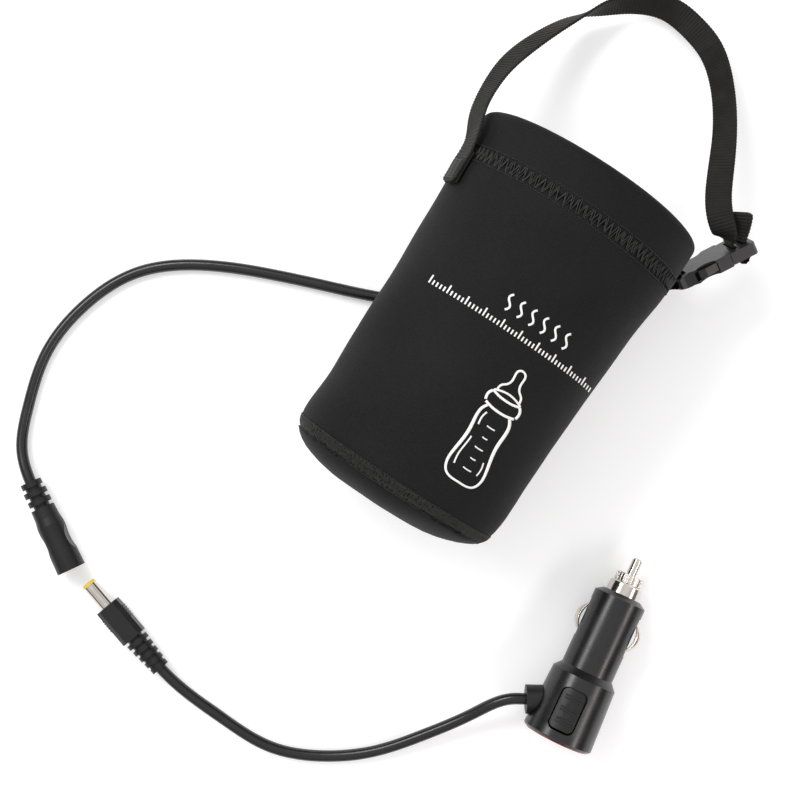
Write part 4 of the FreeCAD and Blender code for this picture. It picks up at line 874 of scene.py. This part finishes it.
CABLE_RADIUS = 2.2
LYING = FLOOR + CABLE_RADIUS
EXIT_Y = 68.5

# The sleeve's cable leaves through the grommet in its side seam.
exit_point = sleeve_point(EXIT_Y, SIDE_SEAM)
exit_way = sleeve_normal(EXIT_Y, SIDE_SEAM)
sleeve_run = [
    exit_point - exit_way * 3.0,
    exit_point + exit_way * 2.2,
    (-38.6, 66.2, FLOOR + 3.6),
    (-47.0, 62.6, LYING),
    (-60.8, 57.3, LYING),
    (-82.9, 48.7, LYING),
    (-107.4, 36.8, LYING),
    (-126.0, 21.2, LYING),
    (-136.3, -1.2, LYING),
    (-138.4, -24.2, LYING),
    (-132.8, -45.5, FLOOR + 2.4),
    (-125.2, -60.8, FLOOR + 3.6),
    JACK.out((1.0, 0, 0)),
    JACK.out((9.0, 0, 0)),
    JACK.out((15.5, 0, 0)),
]

# The power lead's cable runs from the plug into the boss, which leans back from the adapter's side.
boss_lean = math.radians(24.0)
boss_way = np.array([-math.sin(boss_lean), math.cos(boss_lean), 0.0])
boss_root = np.array([13.2, 9.6, 0.0])
plug_run = [
    PLUG.out((16.0, 0, 0)),
    PLUG.out((8.0, 0, 0)),
    PLUG.out((0.0, 0, 0)),
    (-23.0, -103.6, FLOOR + 3.0),
    (-5.4, -104.7, LYING),
    (17.3, -103.8, LYING),
    (36.0, -95.8, FLOOR + 2.3),
    (51.4, -83.4, FLOOR + 3.0),
    (63.6, -67.4, FLOOR + 5.2),
    (74.8, -49.0, FLOOR + 9.2),
    ADAPTER.out(boss_root + boss_way * 13.0),
    ADAPTER.out(boss_root + boss_way * 7.0),
    ADAPTER.out(boss_root + boss_way * 1.2),
]


def cable(name, run, body, node, seed):
    """A round cable along a run of points, very slightly uneven in thickness."""
    path = spline(run, 0.9)
    noise = np.random.default_rng(seed)
    radius = CABLE_RADIUS + np.convolve(noise.normal(0, 0.035, len(path)), np.ones(9) / 9, "same")
    pile = Pile()
    pile.loops(tube_rings(path, radius, 24))
    pile.finish(name, PVC, body, [node])


cable("sleeve_cable_jacket", sleeve_run, "sleeve", "sleeve_cable", 21)
cable("plug_cable_jacket", plug_run, "power_lead", "plug_cable", 22)


# ---------------------------------------------------------------- hard parts

# These keep the shapes of their CAD nodes.
dress(SATIN, "adapter_housing", round_by=0.35, segments=3)
dress(ROCKER_PLASTIC, "switch_rocker", round_by=0.2)
dress(ACETAL, "buckle_female", "buckle_male", "prong_left", "prong_right", round_by=0.45, segments=3)
dress(MOULD, "jack_overmould", "plug_overmould", round_by=0.3, segments=3)
dress(MOULD, "jack_shell", round_by=0.1)
dress(RUBBER, "cable_boss", round_by=0.5, segments=3)
dress(RUBBER, "cable_grommet", round_by=0.3)
dress(NICKEL, "nose_bush", "nose_nut", "plug_barrel", "jack_centre_pin", round_by=0.12)
dress(NICKEL, "tip_contact", round_by=0.4, segments=3)
dress(NICKEL, "plug_inner_contact", "fuse_caps", "fuse_element", "spring_plate")
dress(STEEL, "jack_spring_contact", "fuse_spring")
dress(YELLOW, "plug_tip_ring", "plug_insulator", round_by=0.1)
dress(LENS, "rear_lens", "indicator_led")
dress(WHITE_NYLON, "fuse_tube")
dress(GLASS, "fuse_glass")
dress(MOULD, "switch_block", "thermostat", round_by=0.3)
dress(BOARD, "circuit_board")
dress(RED_WIRE, "adapter_wire_red", "lead_wire_red")
dress(BLACK_WIRE, "adapter_wire_black", "lead_wire_black")
dress(FOAM, "base_pad", round_by=0.5)
dress(LINING, "lining_base")
dress(FILM, "heating_film")
dress(TRACK, "heater_track")


def ground_leaf(side):
    """Rings of a bowed leaf, cupped across its width, that stands out through the barrel's slot."""
    foot, apex, start, end = 7.5, 13.1, 41.2, 54.4
    half_width, cup, thick = 2.2, 1.5, 0.5
    middle, half, rise = (start + end) / 2, (end - start) / 2, apex - foot
    radius = (half**2 + rise**2) / (2 * rise)
    line = [(start - 2.7, foot), (start - 1.2, foot)]
    for k in range(41):
        x = start + (end - start) * k / 40
        line.append((x, apex - radius + math.sqrt(radius**2 - (x - middle) ** 2)))
    line += [(end + 1.0, foot), (end + 2.3, foot)]
    rings = []
    for x, y in line:
        bow = max(0.0, (y - foot) / rise)
        ring = []
        for k in range(13):
            z = -half_width + 2 * half_width * k / 12
            ring.append((x, y - cup * bow * (z / half_width) ** 2, z))
        ring += [(px, py - thick, pz) for px, py, pz in ring[::-1]]
        rings.append(CONTROLS.out(np.array(ring) * (1.0, side, 1.0)))
    return rings


for side, name in ((1, "left"), (-1, "right")):
    leaf = Pile()
    leaf.loops(ground_leaf(side))
    leaf.finish("ground_leaf_" + name, STEEL, "ground_" + name, ["ground_contact_" + name])


# ---------------------------------------------------------------- stage, light and camera


def backdrop():
    """A plain white table top, with a little light of its own so that shadows on it stay soft."""
    n = Nodes("table_white")
    n.set(Base_Color=n.ramp(n.noise(0.002, 2.0), (0.3, 0.78), (0.7, 0.80)))
    n.set(Roughness=0.7, Specular_IOR_Level=0.1)
    n.set(Emission_Color=(1.0, 1.0, 1.0, 1.0), Emission_Strength=0.355)
    half = 4000.0
    corners = [(x, y, FLOOR) for x, y in ((-half, -half), (half, -half), (half, half), (-half, half))]
    make("floor", corners, [(0, 1, 2, 3)], n.mat, None, smooth=False)


backdrop()


def sky():
    """A bright overhead dome that darkens towards the horizon, so glossy things show dark edges."""
    world = bpy.data.worlds.new("studio")
    bpy.context.scene.world = world
    world.use_nodes = True
    tree = world.node_tree
    background = tree.nodes["Background"]
    coords = tree.nodes.new("ShaderNodeTexCoord")
    parts = tree.nodes.new("ShaderNodeSeparateXYZ")
    ramp = tree.nodes.new("ShaderNodeValToRGB")
    tree.links.new(coords.outputs["Generated"], parts.inputs[0])
    tree.links.new(parts.outputs["Z"], ramp.inputs["Fac"])
    band = ramp.color_ramp
    for position, level in ((0.0, 0.20), (0.35, 0.50), (0.62, 1.0), (0.80, 0.66), (1.0, 0.16)):
        element = band.elements.new(position) if position not in (0.0, 1.0) else band.elements[int(position)]
        element.color = (level, level, level * 1.01, 1.0)

    # The camera itself sees an even, nearly white surround.
    path = tree.nodes.new("ShaderNodeLightPath")
    mixer = tree.nodes.new("ShaderNodeMix")
    mixer.data_type = "RGBA"
    tree.links.new(path.outputs["Is Camera Ray"], mixer.inputs["Factor"])
    tree.links.new(ramp.outputs["Color"], mixer.inputs[6])
    mixer.inputs[7].default_value = (0.93, 0.93, 0.94, 1.0)
    tree.links.new(mixer.outputs[2], background.inputs["Color"])
    background.inputs["Strength"].default_value = 0.98


sky()


def panel(name, place, target, width, height, power, color=(1.0, 1.0, 1.0)):
    """A rectangular soft light at a place, in metres, turned to a target."""
    light = bpy.data.lights.new(name, "AREA")
    light.shape = "RECTANGLE"
    light.size, light.size_y = width, height
    light.energy = power
    light.color = color
    obj = bpy.data.objects.new(name, light)
    bpy.context.collection.objects.link(obj)
    obj.location = place
    obj.rotation_euler = (Vector(target) - Vector(place)).to_track_quat("-Z", "Y").to_euler()


panel("key_panel", (-0.66, 0.22, 0.72), (0.0, 0.03, -0.04), 0.75, 0.26, 6.4)
panel("rim_panel", (0.78, -0.05, 0.56), (0.1, -0.02, -0.04), 0.80, 0.13, 2.4, (1.0, 0.92, 0.90))


def camera_above():
    """A camera 0.61 m over the table, looking straight down, turned so the sleeve lies aslant."""
    lens_data = bpy.data.cameras.new("camera")
    lens_data.lens = 70.82
    lens_data.sensor_width = 36.0
    camera = bpy.data.objects.new("camera", lens_data)
    bpy.context.collection.objects.link(camera)
    camera.location = (-0.0143, 0.0356, FLOOR * MM + 0.610)
    camera.rotation_euler = (0.0, 0.0, math.radians(33.3))
    bpy.context.scene.camera = camera


camera_above()
bpy.context.scene.view_settings.view_transform = "Standard"
